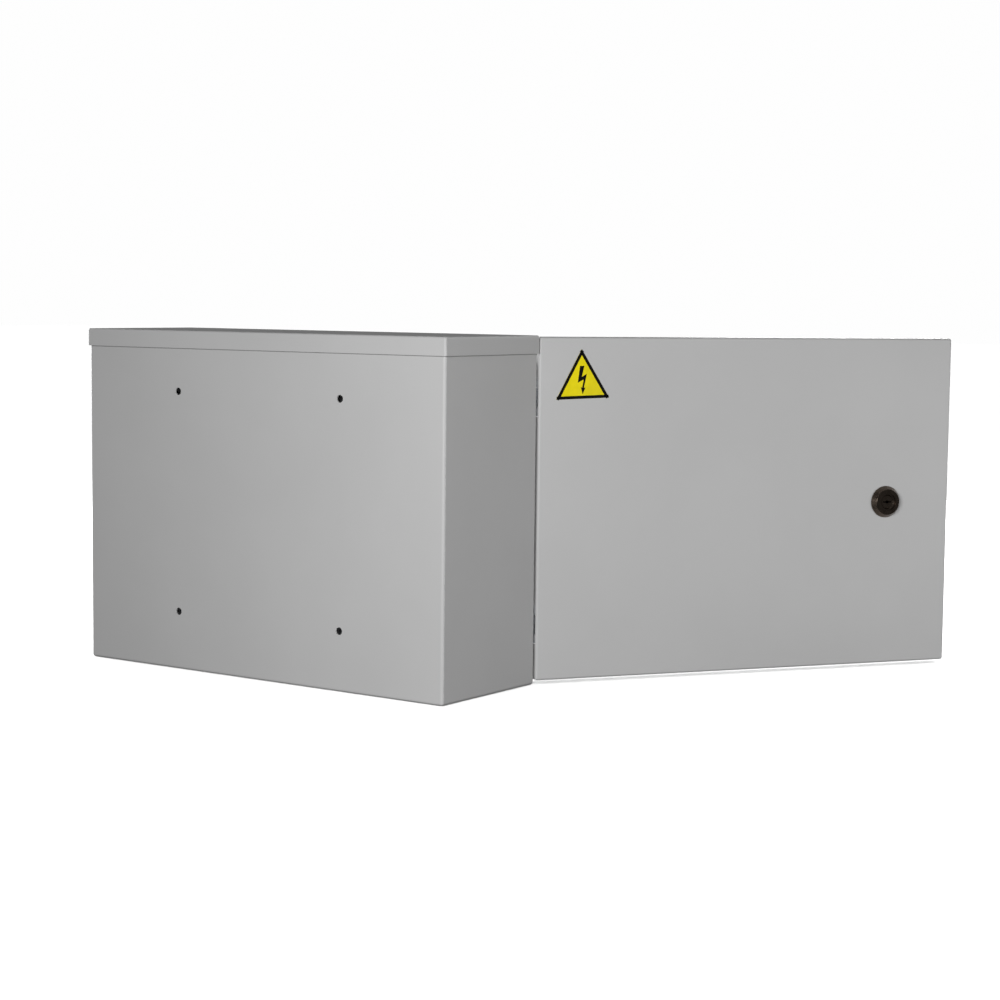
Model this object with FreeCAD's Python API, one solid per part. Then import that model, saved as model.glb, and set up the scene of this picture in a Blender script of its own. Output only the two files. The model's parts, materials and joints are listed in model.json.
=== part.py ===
"""Automatic transfer switch in a wall-mounted sheet-steel cabinet, drawn with its door open.

Millimetres. The origin is the centre of the four wall fixing holes, on the back wall's outer face.
+X is to the right for someone facing the door, +Y goes into the wall, +Z is up.
The door and what is on it are drawn closed and then turned about the hinge to the open position.
"""

import FreeCAD, Part
import math
import os

V = FreeCAD.Vector
X, Y, Z = V(1, 0, 0), V(0, 1, 0), V(0, 0, 1)

# ---------------------------------------------------------------- driving dimensions

# cabinet body
BODY_W = 400.0            # outside width
BODY_D = 132.0            # back wall's outer face to the front flange
TOTAL_H = 300.0           # bottom to the top of the cover
SHEET = 1.2               # sheet steel thickness
BEND_R = 2.5              # outside bend radius
FRONT_FLANGE = 22.0       # width of the flange round the door opening
LIP_DEPTH = 11.5          # sealing lip, forward of the flange
LIP_CORNER_R = 5.0
TOP_FLANGE = 14.0         # flange under the cover

# wall fixing
HOLE_DX = 183.0
HOLE_DZ = 195.0
HOLE_R = 3.25
PATTERN_H = 149.0         # bottom to the centre of the hole pattern

# top cover
COVER_GAP = 0.3           # between the cover and the body
COVER_SKIRT = 15.5
COVER_R = 2.0
COVER_STUD_R = 2.5
COVER_STUD_L = 11.0       # below the top flange's face
COVER_NUT = (8.0, 4.0)    # across flats and height
COVER_WASHER = (5.0, 1.0) # outer radius and thickness, here and below

# door
DOOR_STANDOFF = 18.0      # front flange to the door's outer face
DOOR_FOLD = 15.0          # depth of the folded edge
DOOR_OVER = 1.5           # door's side past the body's side
DOOR_LOW_GAP = 3.0        # door's lower edge above the bottom
DOOR_TOP_GAP = 1.3        # door's upper edge below the cover's top
DOOR_OPEN = 125.0         # degrees, as drawn
SEAL_W = 10.0
SEAL_GAP = 0.3            # seal to the sealing lip with the door shut

# hinges
HINGE_IN_X = 4.7          # axis in from the door's edge
HINGE_IN_Y = 8.0          # axis behind the door's outer face
HINGE_Z = 98.0            # above and below the origin
KNUCKLE_R = 4.0
PIN_R = 2.0
PIN_RUN = 0.05            # running clearance on the pin
KNUCKLE_H = 16.0          # height of the body's knuckle
DOOR_KNUCKLE_H = 8.0
KNUCKLE_GAP = 0.3
NOTCH_CLEAR = 0.4
BRACKET_T = 2.0           # plate of both brackets
BRACKET_IN_X = 10.0       # door bracket's foot past the axis

# lock
LOCK_FROM_EDGE = 65.0     # lock axis in from the door's closing edge
LOCK_BASE_R = 14.3
LOCK_FACE_R = 11.4
LOCK_PROUD = 5.5
LOCK_BARREL_R = 9.5
CAM_BEHIND = 1.0          # cam behind the front flange when locked
CAM_SPACER = 0.4          # plug past the barrel
PLUG_R = 7.6
PLUG_RUN = 0.05
CAM_L = 52.0
CAM_W = 16.0
CAM_T = 2.5
CAM_SQUARE = 8.0          # across the plug's square end
CAM_FIT = 0.05
KEYWAY_W = 8.4
KEYWAY_H = 1.2
LOCK_NUT = (24.0, 5.0)    # across flats and height
LOCK_WASHER = (14.0, 1.0)

# warning label
LABEL_SIDE = 50.0
LABEL_FROM_EDGE = 39.6    # centre in from the hinge edge
LABEL_BASE_Z = 97.0
LABEL_T = 0.3
LABEL_R = 0.6
LABEL_TURN = 2.0          # stuck on slightly off level

# mounting plate
PLATE_T = 2.0
PLATE_STANDOFF = 12.0     # behind the plate
PLATE_EDGE = 6.0          # door opening to the plate's edge
PLATE_CORNER_R = 5.0
STUD_INSET = 12.0
STUD_R = 3.0
COLLAR_R = 5.5
STUD_CLEAR = 0.5
STUD_PAST_NUT = 5.0
NUT_H = 5.0
M6_FLATS = 10.0
M6_WASHER = (6.5, 1.2)
WASHER_GAP = 0.2          # washer round its stud

# top-hat rail
RAIL_W = 35.0
RAIL_HAT = 27.0
RAIL_H = 7.5
RAIL_T = 1.0
RAIL_END = 10.0           # plate's edge to the rail's end
UPPER_RAIL_Z = 60.0
LOWER_RAIL_Z = -50.0
RAIL_SLOT_W = 6.2
RAIL_SLOT_L = 15.0
RAIL_SLOT_PITCH = 25.0
RAIL_SLOT_END = 10.0      # plain rail at each end

# modular devices on the rails
POLE_W = 17.6             # one module
MODULE_H = 84.0
NOSE_H = 45.0
SHOULDER_D = 44.0         # rail face to the terminal shoulder
NOSE_D = 58.0             # rail face to the nose
BACK_D = 5.0              # how far a housing reaches behind the rail face
RAIL_PLAY = 0.4
FIT_GAP = 0.2             # between neighbours on a rail
CLAMP_W = 8.0             # end clamp
CLAMP_D = 24.0
CLAMP_SCREW = (2.2, 4.0)  # head radius and pocket depth, here and below
BREAKER_SCREW = (3.2, 7.0)
BREAKER_SCREW_Z = 33.0    # terminal screw from the rail's middle
DRUM_R = 9.0
DRUM_SINK = 5.0           # lever axis behind the nose
DRUM_W = 10.8
DRUM_CLEAR = 0.35
LEVER_REACH = 18.5
LEVER_OFF = 40.0          # degrees below level when switched off

# transfer controller and relays
CONTROLLER_W = 70.0
CONTROLLER_H = 88.0
CONTROLLER_SCREW = (2.6, 5.0)
CONTROLLER_SCREW_Z = 34.0 # terminal screw from the rail's middle
FACE_W = 62.0
FACE_H = 38.0
FACE_T = 1.6
FACE_GAP = 0.2            # plate in its seat, and round the button
KNOBS = {"delay_knob": -19.0, "threshold_knob": 0.0}
KNOB_RISE = -7.0
BUTTON_OUT = 20.0
LAMP_R = 2.0
LAMP_RISE = 11.0
LAMP_STEP = 11.0
KNOB_R = 6.0
KNOB_H = 5.0
KNOB_STEM_R = 2.2
KNOB_RUN = 0.3            # stem in its hole
KNOB_FLUTES = 18
BUTTON_R = 4.0
BUTTON_TRAVEL = 2.0
RELAY_W = 27.0
RELAY_BODY_W = 22.0
RELAY_BODY_H = 30.0
RELAY_BODY_D = 34.0
RELAY_WALL = 1.0
SOCKET_D = 27.0
SOCKET_SHOULDER_D = 20.0
SOCKET_H = 76.0
SOCKET_WIRE_D = 12.0
RELAY_SCREW = (2.6, 3.5)

# contactors
CONTACTOR_W = 45.0
CONTACTOR_H = 74.0
BASE_D = 38.0
TERMINAL_D = 60.0
ARC_D = 84.0
ARC_H = 44.0
POLE_PITCH = 10.8
WELL_W = 8.8
WELL_FLOOR_D = 46.0
CLAMP_PLATE_T = 1.2
CARRIER_W = 13.0
CARRIER_H = 9.0
CARRIER_L = 9.0
CARRIER_CLEAR = 0.3
CARRIER_TRAVEL = 3.5
CARRIER_PROUD = 1.0
INTERLOCK_W = 11.0

# field terminals
BLOCK_W = 8.2
BLOCK_H = 46.0
BLOCK_D = 40.0
BLOCK_SCREW = (2.2, 6.0)
BLOCK_SCREW_Z = 5.0       # terminal screw from the rail's middle
BLOCKS = 13
BLOCKS_FROM_CLAMP = 8.0

# neutral and earth bars
BAR_L = 92.0
BAR_H = 9.0
BAR_T = 7.0
BAR_RISE = 14.0           # above the mounting plate's lower edge
BAR_SCREWS = 8
BAR_STANDOFF = 18.0
BAR_END = 14.0

# earth studs, screws and lugs
EARTH_STUD_BACK = 28.0    # behind the front flange
EARTH_STUD_RISE = 75.0    # above the door opening's lower edge, here and below
EARTH_STUD_L = 16.0
DOOR_STUD_IN = 13.0       # in from the door opening's side
DOOR_STUD_RISE = 52.0
DOOR_STUD_L = 15.0
EARTH_NUT_H = 4.0
LUG_R = 6.5
LUG_T = 1.2
LUG_GAP = 0.3             # lug round its stud
CRIMP_R = 3.0             # lug's barrel
CRIMP_L = 8.0
M4_R = 1.95
TERMINAL_SCREW_R = 1.6
TERMINAL_SCREW_L = 4.0
THREAD_GAP = 0.05         # screw to its thread
HEAD_GAP = 0.4            # round a screw head in its pocket

# cable entry
ENTRY_W = 190.0
ENTRY_D = 62.0
ENTRY_FROM_FRONT = 16.0   # entry plate's edge to the body's front
ENTRY_LAP = 11.0          # plate past the cut-out
ENTRY_PLATE_T = 1.5
GASKET_T = 2.0
ENTRY_R = 4.0
ENTRY_SCREW_R = 1.8
ENTRY_SCREW_IN = 6.0      # screw in from the plate's front and back edges
ENTRY_SCREW_GAP = 0.3
BIG_GROMMET_R = 15.0
SMALL_GROMMET_R = 9.0
GROMMET_PITCH = 34.0

# wiring: diameters, and depths of the terminals in front of the rail's face
PHASE_WIRE = 4.0
THIN_WIRE = 2.6
DOOR_LEAD = 4.4
WIRE_IN = 5.0             # how far a phase wire reaches into a terminal
THIN_IN = 4.0
BREAKER_WIRE_D = 27.5
CONTROLLER_WIRE_D = 30.7
BLOCK_WIRE_D = 22.0
COIL_WIRE_D = 26.5
PHASE_STEP = 6.0          # between the three phases' levels
SIDE_STEP = 2.15          # two wires side by side in one terminal
ARC_SHARE = 0.45          # share of the shorter run that a bend takes up
STRAIGHT = math.radians(0.5)   # a turn too small to bend the wire

# ---------------------------------------------------------------- places

SIDE = BODY_W / 2
FLOOR = -PATTERN_H
ROOF = FLOOR + TOTAL_H
FRONT = -BODY_D
BODY_TOP = ROOF - SHEET - COVER_GAP
COVER_OVER = SHEET + COVER_GAP
OPEN_X = SIDE - FRONT_FLANGE
OPEN_LOW = FLOOR + FRONT_FLANGE
OPEN_TOP = BODY_TOP - FRONT_FLANGE

DOOR_FACE = FRONT - DOOR_STANDOFF
DOOR_INNER = DOOR_FACE + SHEET
DOOR_SIDE = SIDE + DOOR_OVER
DOOR_LOW = FLOOR + DOOR_LOW_GAP
DOOR_TOP = ROOF - DOOR_TOP_GAP
HINGE = V(-DOOR_SIDE + HINGE_IN_X, DOOR_FACE + HINGE_IN_Y, 0)
LOCK_X = DOOR_SIDE - LOCK_FROM_EDGE
LOCK_Z = (DOOR_LOW + DOOR_TOP) / 2

PLATE_X = OPEN_X - PLATE_EDGE
PLATE_LOW = OPEN_LOW + PLATE_EDGE
PLATE_TOP = OPEN_TOP - PLATE_EDGE
PLATE_BACK = -SHEET - PLATE_STANDOFF
PLATE_FRONT = PLATE_BACK - PLATE_T
RAIL_FACE = PLATE_FRONT - RAIL_H
ROW_START = -PLATE_X + RAIL_END + 2.0

RAIL_END_X = PLATE_X - RAIL_END
RAIL_SLOTS = int(2 * (RAIL_END_X - RAIL_SLOT_END) // RAIL_SLOT_PITCH)
RAIL_SCREW_X = (RAIL_SLOTS / 2 - 1.5) * RAIL_SLOT_PITCH

BAR_Y = PLATE_FRONT - BAR_STANDOFF
BAR_Z = PLATE_LOW + BAR_RISE
ENTRY_Y = FRONT + ENTRY_FROM_FRONT + ENTRY_LAP + ENTRY_D / 2
CAM_FRONT = FRONT + SHEET + CAM_BEHIND
BARREL_BACK = CAM_FRONT - CAM_SPACER
EARTH_STUD = V(-SIDE + SHEET, FRONT + EARTH_STUD_BACK, OPEN_LOW + EARTH_STUD_RISE)
DOOR_STUD = V(-OPEN_X + DOOR_STUD_IN, DOOR_INNER, OPEN_LOW + DOOR_STUD_RISE)
POLE_WIRE_D = WELL_FLOOR_D + CLAMP_PLATE_T + PHASE_WIRE / 2 + THREAD_GAP


# ---------------------------------------------------------------- shape helpers

def box(x0, x1, y0, y1, z0, z1):
    """A block between two corners."""
    return Part.makeBox(x1 - x0, y1 - y0, z1 - z0, V(x0, y0, z0))


def forward(x0, x1, d0, d1, z0, z1):
    """A block on a rail, with its depth measured forward from the rail's face."""
    return box(x0, x1, RAIL_FACE - d1, RAIL_FACE - d0, z0, z1)


def rod(radius, start, end):
    """A cylinder from one point to another."""
    return Part.makeCylinder(radius, (end - start).Length, start, end - start)


def cone(r0, r1, start, end):
    return Part.makeCone(r0, r1, (end - start).Length, start, end - start)


def rounded(shape, radius, keep):
    """Fillets the straight edges whose midpoint and direction the test accepts."""
    edges = [e for e in shape.Edges if keep(e.CenterOfMass, direction(e))]
    return shape.makeFillet(radius, edges)


def direction(edge):
    a, b = edge.Vertexes[0].Point, edge.Vertexes[-1].Point
    line = b - a
    return line.normalize() if line.Length > 0 else V(0, 0, 0)


def along(line, axis):
    return abs(line.dot(axis)) > 0.99


def rounded_frame(x0, x1, z0, z1, y0, y1, radius):
    """A prism along Y with rounded vertical corners."""
    block = box(x0, x1, y0, y1, z0, z1)
    return rounded(block, radius, lambda m, line: along(line, Y))


def fuse(*shapes):
    whole = shapes[0].multiFuse(list(shapes[1:]))
    return whole.removeSplitter()


def cut(shape, *tools):
    return shape.cut(list(tools))


def hexagon(flats, height, centre, axis):
    """A hexagonal prism, such as a nut."""
    reach = flats / 2 / math.cos(math.pi / 6)
    across = X if abs(axis.dot(X)) < 0.9 else Z
    up = axis.cross(across)
    turns = [math.radians(60 * i) for i in range(6)]
    points = [centre + across * (reach * math.cos(t)) + up * (reach * math.sin(t)) for t in turns]
    face = Part.Face(Part.makePolygon(points + points[:1]))
    return face.extrude(axis * height)


def nut(flats, height, bore, centre, axis):
    """A chamfered nut standing on centre, with a clear bore."""
    body = hexagon(flats, height, centre, axis)
    reach = flats / 2 / math.cos(math.pi / 6)
    tip = centre + axis * (height + reach * 0.6)
    body = body.common(cone(reach * 1.6 + height * 1.0, 0.001, centre, tip + axis * height))
    return body.cut(rod(bore, centre - axis, centre + axis * (height + 1)))


def washer(outer, bore, thick, centre, axis):
    disc = rod(outer, centre, centre + axis * thick)
    return disc.cut(rod(bore, centre - axis, centre + axis * (thick + 1)))


def cross_recess(centre, axis, size, depth):
    """The cross slot of a screw head, sunk from centre."""
    first = X if abs(axis.dot(X)) < 0.9 else Z
    second = axis.cross(first)
    bars = []
    for a, b in ((first, second), (second, first)):
        corners = [centre + a * (s * size) + b * (t * size * 0.16) + axis * 0.2
                   for s, t in ((1, 1), (-1, 1), (-1, -1), (1, -1))]
        face = Part.Face(Part.makePolygon(corners + corners[:1]))
        bars.append(face.extrude(axis * -(depth + 0.2)))
    return bars[0].fuse(bars[1])


def pan_screw(radius, head_r, head_h, seat, axis, length):
    """A pan-head screw: its head's underside is at seat and its shank runs against axis."""
    head = rod(head_r, seat, seat + axis * head_h)
    top = [e for e in head.Edges if (e.CenterOfMass - seat).dot(axis) > head_h * 0.9]
    head = head.makeFillet(head_h * 0.45, top)
    head = head.cut(cross_recess(seat + axis * head_h, axis, head_r * 0.55, head_h * 0.6))
    return head.fuse(rod(radius, seat - axis * length, seat)).removeSplitter()


def arc_path(points):
    """Straight runs through the points, joined by tangent arcs as large as the runs allow."""
    edges, radii, start = [], [], points[0]
    for before, corner, after in zip(points, points[1:], points[2:]):
        back, on = (before - corner).normalize(), (after - corner).normalize()
        turn = math.pi - back.getAngle(on)
        if turn < STRAIGHT:
            continue
        reach = ARC_SHARE * min((before - corner).Length, (after - corner).Length)
        radius = reach / math.tan(turn / 2)
        first, last = corner + back * reach, corner + on * reach
        inward = (back + on).normalize()
        middle = corner + inward * (radius / math.cos(turn / 2) - radius)
        edges.append(Part.LineSegment(start, first).toShape())
        edges.append(Part.Arc(first, middle, last).toShape())
        radii.append(radius)
        start = last
    edges.append(Part.LineSegment(start, points[-1]).toShape())
    return Part.Wire(edges), radii


def lead(points, diameter):
    """An insulated wire along straight runs and arcs. Prints its length and its bends' radii."""
    path, radii = arc_path(points)
    way = points[1] - points[0]
    ring = Part.Wire(Part.makeCircle(diameter / 2, points[0], way))
    solid = path.makePipeShell([ring], True, False)
    true_volume = path.Length * math.pi * diameter ** 2 / 4
    if abs(solid.Volume / true_volume - 1) > 0.01:
        raise ValueError("a wire's volume is not its section times its length")
    print("wire %.1f mm thick, %.1f mm long, radii" % (diameter, path.Length), [round(r, 1) for r in radii])
    return solid


def opened(shape):
    """Turns a piece of the closed door to the open position."""
    return shape.rotate(HINGE, Z, -DOOR_OPEN)


def save(name, *solids):
    """Writes one node: every solid of the given shapes."""
    parts = [s for shape in solids for s in shape.Solids]
    for s in parts:
        if not s.isValid():
            raise ValueError(name + " has an invalid solid")
    shape = parts[0] if len(parts) == 1 else Part.makeCompound(parts)
    shape.exportStep(os.path.join("parts", name + ".step"))


# ---------------------------------------------------------------- cabinet

def stud_places():
    x = PLATE_X - STUD_INSET
    return [V(sx * x, 0, z) for sx in (-1, 1) for z in (PLATE_LOW + STUD_INSET, PLATE_TOP - STUD_INSET)]


def body_shell():
    """Folded body: back, sides, floor, front flange with a sealing lip, top flange and weld studs."""
    outer = box(-SIDE, SIDE, FRONT, 0, FLOOR, BODY_TOP)
    outer = rounded(outer, BEND_R, lambda m, line: m.z < BODY_TOP - 0.1 and
                    not (abs(m.y - FRONT) < 0.1 and m.z > BODY_TOP - 0.1))
    inner = box(-SIDE + SHEET, SIDE - SHEET, FRONT + SHEET, -SHEET, FLOOR + SHEET, BODY_TOP - SHEET)
    inner = rounded(inner, BEND_R - SHEET, lambda m, line: m.z < BODY_TOP - SHEET - 0.1)
    shell = outer.cut(inner)

    roof_hole = box(-SIDE + TOP_FLANGE, SIDE - TOP_FLANGE, FRONT + TOP_FLANGE, -TOP_FLANGE,
                    BODY_TOP - 2 * SHEET, BODY_TOP + 1)
    roof_hole = rounded(roof_hole, LIP_CORNER_R, lambda m, line: along(line, Z))
    door_hole = rounded_frame(-OPEN_X + SHEET, OPEN_X - SHEET, OPEN_LOW + SHEET, OPEN_TOP - SHEET,
                              FRONT - LIP_DEPTH - 1, FRONT + 2 * SHEET, LIP_CORNER_R - SHEET)
    lip = rounded_frame(-OPEN_X, OPEN_X, OPEN_LOW, OPEN_TOP, FRONT - LIP_DEPTH, FRONT + SHEET / 2,
                        LIP_CORNER_R)
    entry = box(-ENTRY_W / 2, ENTRY_W / 2, ENTRY_Y - ENTRY_D / 2, ENTRY_Y + ENTRY_D / 2,
                FLOOR - 1, FLOOR + 2 * SHEET)
    entry = rounded(entry, ENTRY_R, lambda m, line: along(line, Z))
    holes = [rod(HOLE_R, V(sx * HOLE_DX / 2, 1, sz * HOLE_DZ / 2), V(sx * HOLE_DX / 2, -3, sz * HOLE_DZ / 2))
             for sx in (-1, 1) for sz in (-1, 1)]
    taps = [rod(ENTRY_SCREW_R + THREAD_GAP, V(p.x, p.y, FLOOR - 1), p) for p in entry_screw_places()]
    shell = cut(shell.fuse(lip), door_hole, roof_hole, entry, *holes, *taps, *cover_stud_holes())

    studs = []
    for p in stud_places():
        studs.append(rod(COLLAR_R, p - Y * (SHEET / 2), p + Y * PLATE_BACK))
        studs.append(rod(STUD_R, p - Y * SHEET, p + Y * (PLATE_FRONT - NUT_H - STUD_PAST_NUT)))
    studs.append(rod(STUD_R, EARTH_STUD - X * (SHEET / 2), EARTH_STUD + X * EARTH_STUD_L))
    return fuse(shell, *studs)


def cover_stud_places():
    """Under the cover, in the middle of the body's top flange."""
    half = TOP_FLANGE / 2
    return [V(sx * BODY_W / 4, y, BODY_TOP) for sx in (-1, 1) for y in (-half, FRONT + half)]


def cover_stud_holes():
    return [rod(STUD_R, p - Z * 3, p + Z) for p in cover_stud_places()]


def top_cover():
    """Folded cover that caps the body, with its skirt outside and its weld studs below."""
    over = SIDE + COVER_OVER
    outer = box(-over, over, FRONT - COVER_OVER, COVER_OVER, ROOF - COVER_SKIRT, ROOF)
    outer = rounded(outer, COVER_R, lambda m, line: along(line, Z) or m.z > ROOF - 0.1)
    inside = SIDE + COVER_GAP
    inner = box(-inside, inside, FRONT - COVER_GAP, COVER_GAP, ROOF - COVER_SKIRT - 1, ROOF - SHEET)
    inner = rounded(inner, COVER_R - SHEET, lambda m, line: along(line, Z) or m.z > ROOF - SHEET - 0.1)
    studs = [rod(COVER_STUD_R, p + Z * (COVER_GAP + SHEET / 2), p - Z * COVER_STUD_L)
             for p in cover_stud_places()]
    return fuse(outer.cut(inner), *studs)


def cover_nuts():
    made = []
    for p in cover_stud_places():
        seat = p - Z * SHEET
        outer, thick = COVER_WASHER
        flats, height = COVER_NUT
        made.append(washer(outer, COVER_STUD_R + WASHER_GAP, thick, seat, -Z))
        made.append(nut(flats, height, COVER_STUD_R + THREAD_GAP, seat - Z * thick, -Z))
    return made


def m6_nuts():
    """Plate nuts with their washers, and the pair that clamps the earth lead on the body's stud."""
    made = []
    for p in stud_places():
        seat = p + Y * PLATE_FRONT
        outer, thick = M6_WASHER
        made.append(washer(outer, STUD_R + WASHER_GAP, thick, seat, -Y))
        made.append(nut(M6_FLATS, NUT_H, STUD_R + THREAD_GAP, seat - Y * thick, -Y))
    return made + earth_nuts(EARTH_STUD, X)


def earth_nuts(stud, axis):
    """The two thin nuts that hold a ring lug on an earth stud."""
    return [nut(M6_FLATS, EARTH_NUT_H, STUD_R + THREAD_GAP, stud + axis * h, axis)
            for h in (0, EARTH_NUT_H + LUG_T)]


def entry_screw_places():
    x = ENTRY_W / 2 + ENTRY_LAP / 2
    y = ENTRY_D / 2 - ENTRY_SCREW_IN
    return [V(sx * x, ENTRY_Y + sy * y, FLOOR + SHEET + GASKET_T + ENTRY_PLATE_T)
            for sx in (-1, 1) for sy in (-1, 1)]


def grommet_places():
    """Three large entries for the two supplies and the load, and two small ones for control cables."""
    big = [(n * GROMMET_PITCH, BIG_GROMMET_R) for n in (-2, 0, 2)]
    small = [(n * GROMMET_PITCH, SMALL_GROMMET_R) for n in (-1, 1)]
    return [(V(x, ENTRY_Y, FLOOR + SHEET + GASKET_T), r) for x, r in big + small]


def entry_sheet(z0, z1, inner_cut):
    """A rectangular sheet over the cable entry, with the four screw holes."""
    wide, deep = ENTRY_W / 2 + ENTRY_LAP, ENTRY_D / 2 + ENTRY_LAP
    sheet = box(-wide, wide, ENTRY_Y - deep, ENTRY_Y + deep, z0, z1)
    sheet = rounded(sheet, 3.0, lambda m, line: along(line, Z))
    holes = [rod(ENTRY_SCREW_R + ENTRY_SCREW_GAP, V(p.x, p.y, z0 - 1), V(p.x, p.y, z1 + 1))
             for p in entry_screw_places()]
    return cut(sheet, *holes, *inner_cut)


def gland_plate():
    low = FLOOR + SHEET + GASKET_T
    holes = [rod(r, p - Z, p + Z * 5) for p, r in grommet_places()]
    return entry_sheet(low, low + ENTRY_PLATE_T, holes)


def gland_gasket():
    low = FLOOR + SHEET
    window = box(-ENTRY_W / 2, ENTRY_W / 2, ENTRY_Y - ENTRY_D / 2, ENTRY_Y + ENTRY_D / 2,
                 low - 1, low + GASKET_T + 1)
    return entry_sheet(low, low + GASKET_T, [window])


def grommet(place, radius):
    """A rubber membrane grommet, turned about Z: groove on the plate, stepped cone above."""
    low, lap, skin = -1.8, 2.2, 1.0
    top = ENTRY_PLATE_T
    profile = [(0, low + 0.6), (radius - 3.0, low + 0.6), (radius - 2.4, low), (radius + lap, low),
               (radius + lap, 0), (radius, 0), (radius, top), (radius + lap, top),
               (radius + lap, top + 1.6), (radius - 0.6, top + 2.2), (radius - 2.2, top + 6.0),
               (radius * 0.62, top + 6.4), (radius * 0.58, top + 8.6), (0, top + 9.0),
               (0, top + 9.0 - skin), (radius * 0.5, top + 7.4), (radius * 0.52, top + 5.2),
               (radius - 3.4, top + 4.8), (radius - 3.0, low + 1.6), (0, low + 1.6)]
    points = [V(r, 0, z) + place for r, z in profile]
    face = Part.Face(Part.makePolygon(points + points[:1]))
    return face.revolve(place, Z, 360)


def gland_grommets():
    return [grommet(p, r) for p, r in grommet_places()]


def hinge_levels():
    return (-HINGE_Z, HINGE_Z)


def body_hinge_brackets():
    """Welded on the front flange: a foot, a web and the knuckle the pin turns in."""
    made = []
    for z in hinge_levels():
        low, top = z - KNUCKLE_H / 2, z + KNUCKLE_H / 2
        axis = HINGE + Z * z
        foot = box(axis.x - 1.0, -OPEN_X - 1.0, FRONT - BRACKET_T, FRONT, low, top)
        web = box(axis.x - 1.0, axis.x + KNUCKLE_R, axis.y, FRONT, low, top)
        barrel = rod(KNUCKLE_R, V(axis.x, axis.y, low), V(axis.x, axis.y, top))
        bore = rod(PIN_R + PIN_RUN, V(axis.x, axis.y, low - 1), V(axis.x, axis.y, top + 1))
        made.append(fuse(foot, web, barrel).cut(bore))
    return made


# ---------------------------------------------------------------- door

def notch_half():
    return KNUCKLE_H / 2 + KNUCKLE_GAP + DOOR_KNUCKLE_H + NOTCH_CLEAR


def door_panel():
    """A folded tray with a notch in its hinge edge at each hinge, and an earth stud inside."""
    outer = box(-DOOR_SIDE, DOOR_SIDE, DOOR_FACE, DOOR_FACE + DOOR_FOLD, DOOR_LOW, DOOR_TOP)
    outer = rounded(outer, COVER_R, lambda m, line: along(line, Y) or m.y < DOOR_FACE + 0.1)
    inner = box(-DOOR_SIDE + SHEET, DOOR_SIDE - SHEET, DOOR_INNER, DOOR_FACE + DOOR_FOLD + 1,
                DOOR_LOW + SHEET, DOOR_TOP - SHEET)
    inner = rounded(inner, COVER_R - SHEET, lambda m, line: along(line, Y) or m.y < DOOR_INNER + 0.1)
    tray = outer.cut(inner)
    notches = [box(-DOOR_SIDE - 1, -DOOR_SIDE + SHEET + 0.8, DOOR_INNER + 1.5, DOOR_FACE + DOOR_FOLD + 1,
                   z - notch_half(), z + notch_half()) for z in hinge_levels()]
    lock_hole = rod(LOCK_BARREL_R + WASHER_GAP, V(LOCK_X, DOOR_FACE - 1, LOCK_Z),
                    V(LOCK_X, DOOR_INNER + 1, LOCK_Z))
    tray = cut(tray, lock_hole, *notches)
    stud = rod(STUD_R, DOOR_STUD - Y * (SHEET / 2), DOOR_STUD + Y * DOOR_STUD_L)
    return fuse(tray, stud)


def door_seal():
    """Foam seal on the door's inside, facing the sealing lip."""
    half = SEAL_W / 2
    x, low, top = OPEN_X - SHEET / 2, OPEN_LOW + SHEET / 2, OPEN_TOP - SHEET / 2
    front = FRONT - LIP_DEPTH - SEAL_GAP
    outer = rounded_frame(-x - half, x + half, low - half, top + half, DOOR_INNER, front, LIP_CORNER_R + half)
    inner = rounded_frame(-x + half, x - half, low + half, top - half, DOOR_INNER - 1, front + 1, 1.0)
    return outer.cut(inner)


def door_hinge_brackets():
    """Two knuckles a hinge, above and below the body's, on a foot welded inside the door's face."""
    made = []
    for z in hinge_levels():
        axis = HINGE + Z * z
        near = KNUCKLE_H / 2 + KNUCKLE_GAP
        far = near + DOOR_KNUCKLE_H
        foot = box(axis.x - 1.5, axis.x + BRACKET_IN_X, DOOR_INNER, DOOR_INNER + BRACKET_T, z - far, z + far)
        pieces = [foot]
        bores = []
        for low, top in ((z - far, z - near), (z + near, z + far)):
            pieces.append(rod(KNUCKLE_R, V(axis.x, axis.y, low), V(axis.x, axis.y, top)))
            pieces.append(box(axis.x - 1.5, axis.x + KNUCKLE_R, DOOR_INNER, axis.y, low, top))
            bores.append(rod(PIN_R, V(axis.x, axis.y, low - 1), V(axis.x, axis.y, top + 1)))
        made.append(fuse(*pieces).cut(bores))
    return made


def hinge_pins():
    made = []
    far = KNUCKLE_H / 2 + KNUCKLE_GAP + DOOR_KNUCKLE_H
    for z in hinge_levels():
        axis = HINGE + Z * z
        pin = rod(PIN_R, axis - Z * (far + 1.0), axis + Z * far)
        head = rod(PIN_R + 1.0, axis + Z * far, axis + Z * (far + 1.2))
        made.append(fuse(pin, head))
    return made


def warning_label():
    """A triangular plate with rounded corners, on the door's face near the hinge edge."""
    height = LABEL_SIDE * math.sqrt(3) / 2
    x, z = -DOOR_SIDE + LABEL_FROM_EDGE, LABEL_BASE_Z
    half = LABEL_SIDE / 2
    points = [V(x - half, DOOR_FACE, z), V(x + half, DOOR_FACE, z), V(x, DOOR_FACE, z + height)]
    face = Part.Face(Part.makePolygon(points + points[:1]))
    plate = rounded(face.extrude(Y * -LABEL_T), LABEL_R, lambda m, line: along(line, Y))
    return plate.rotate(V(x, DOOR_FACE, z + height / 3), Y, -LABEL_TURN)


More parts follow.
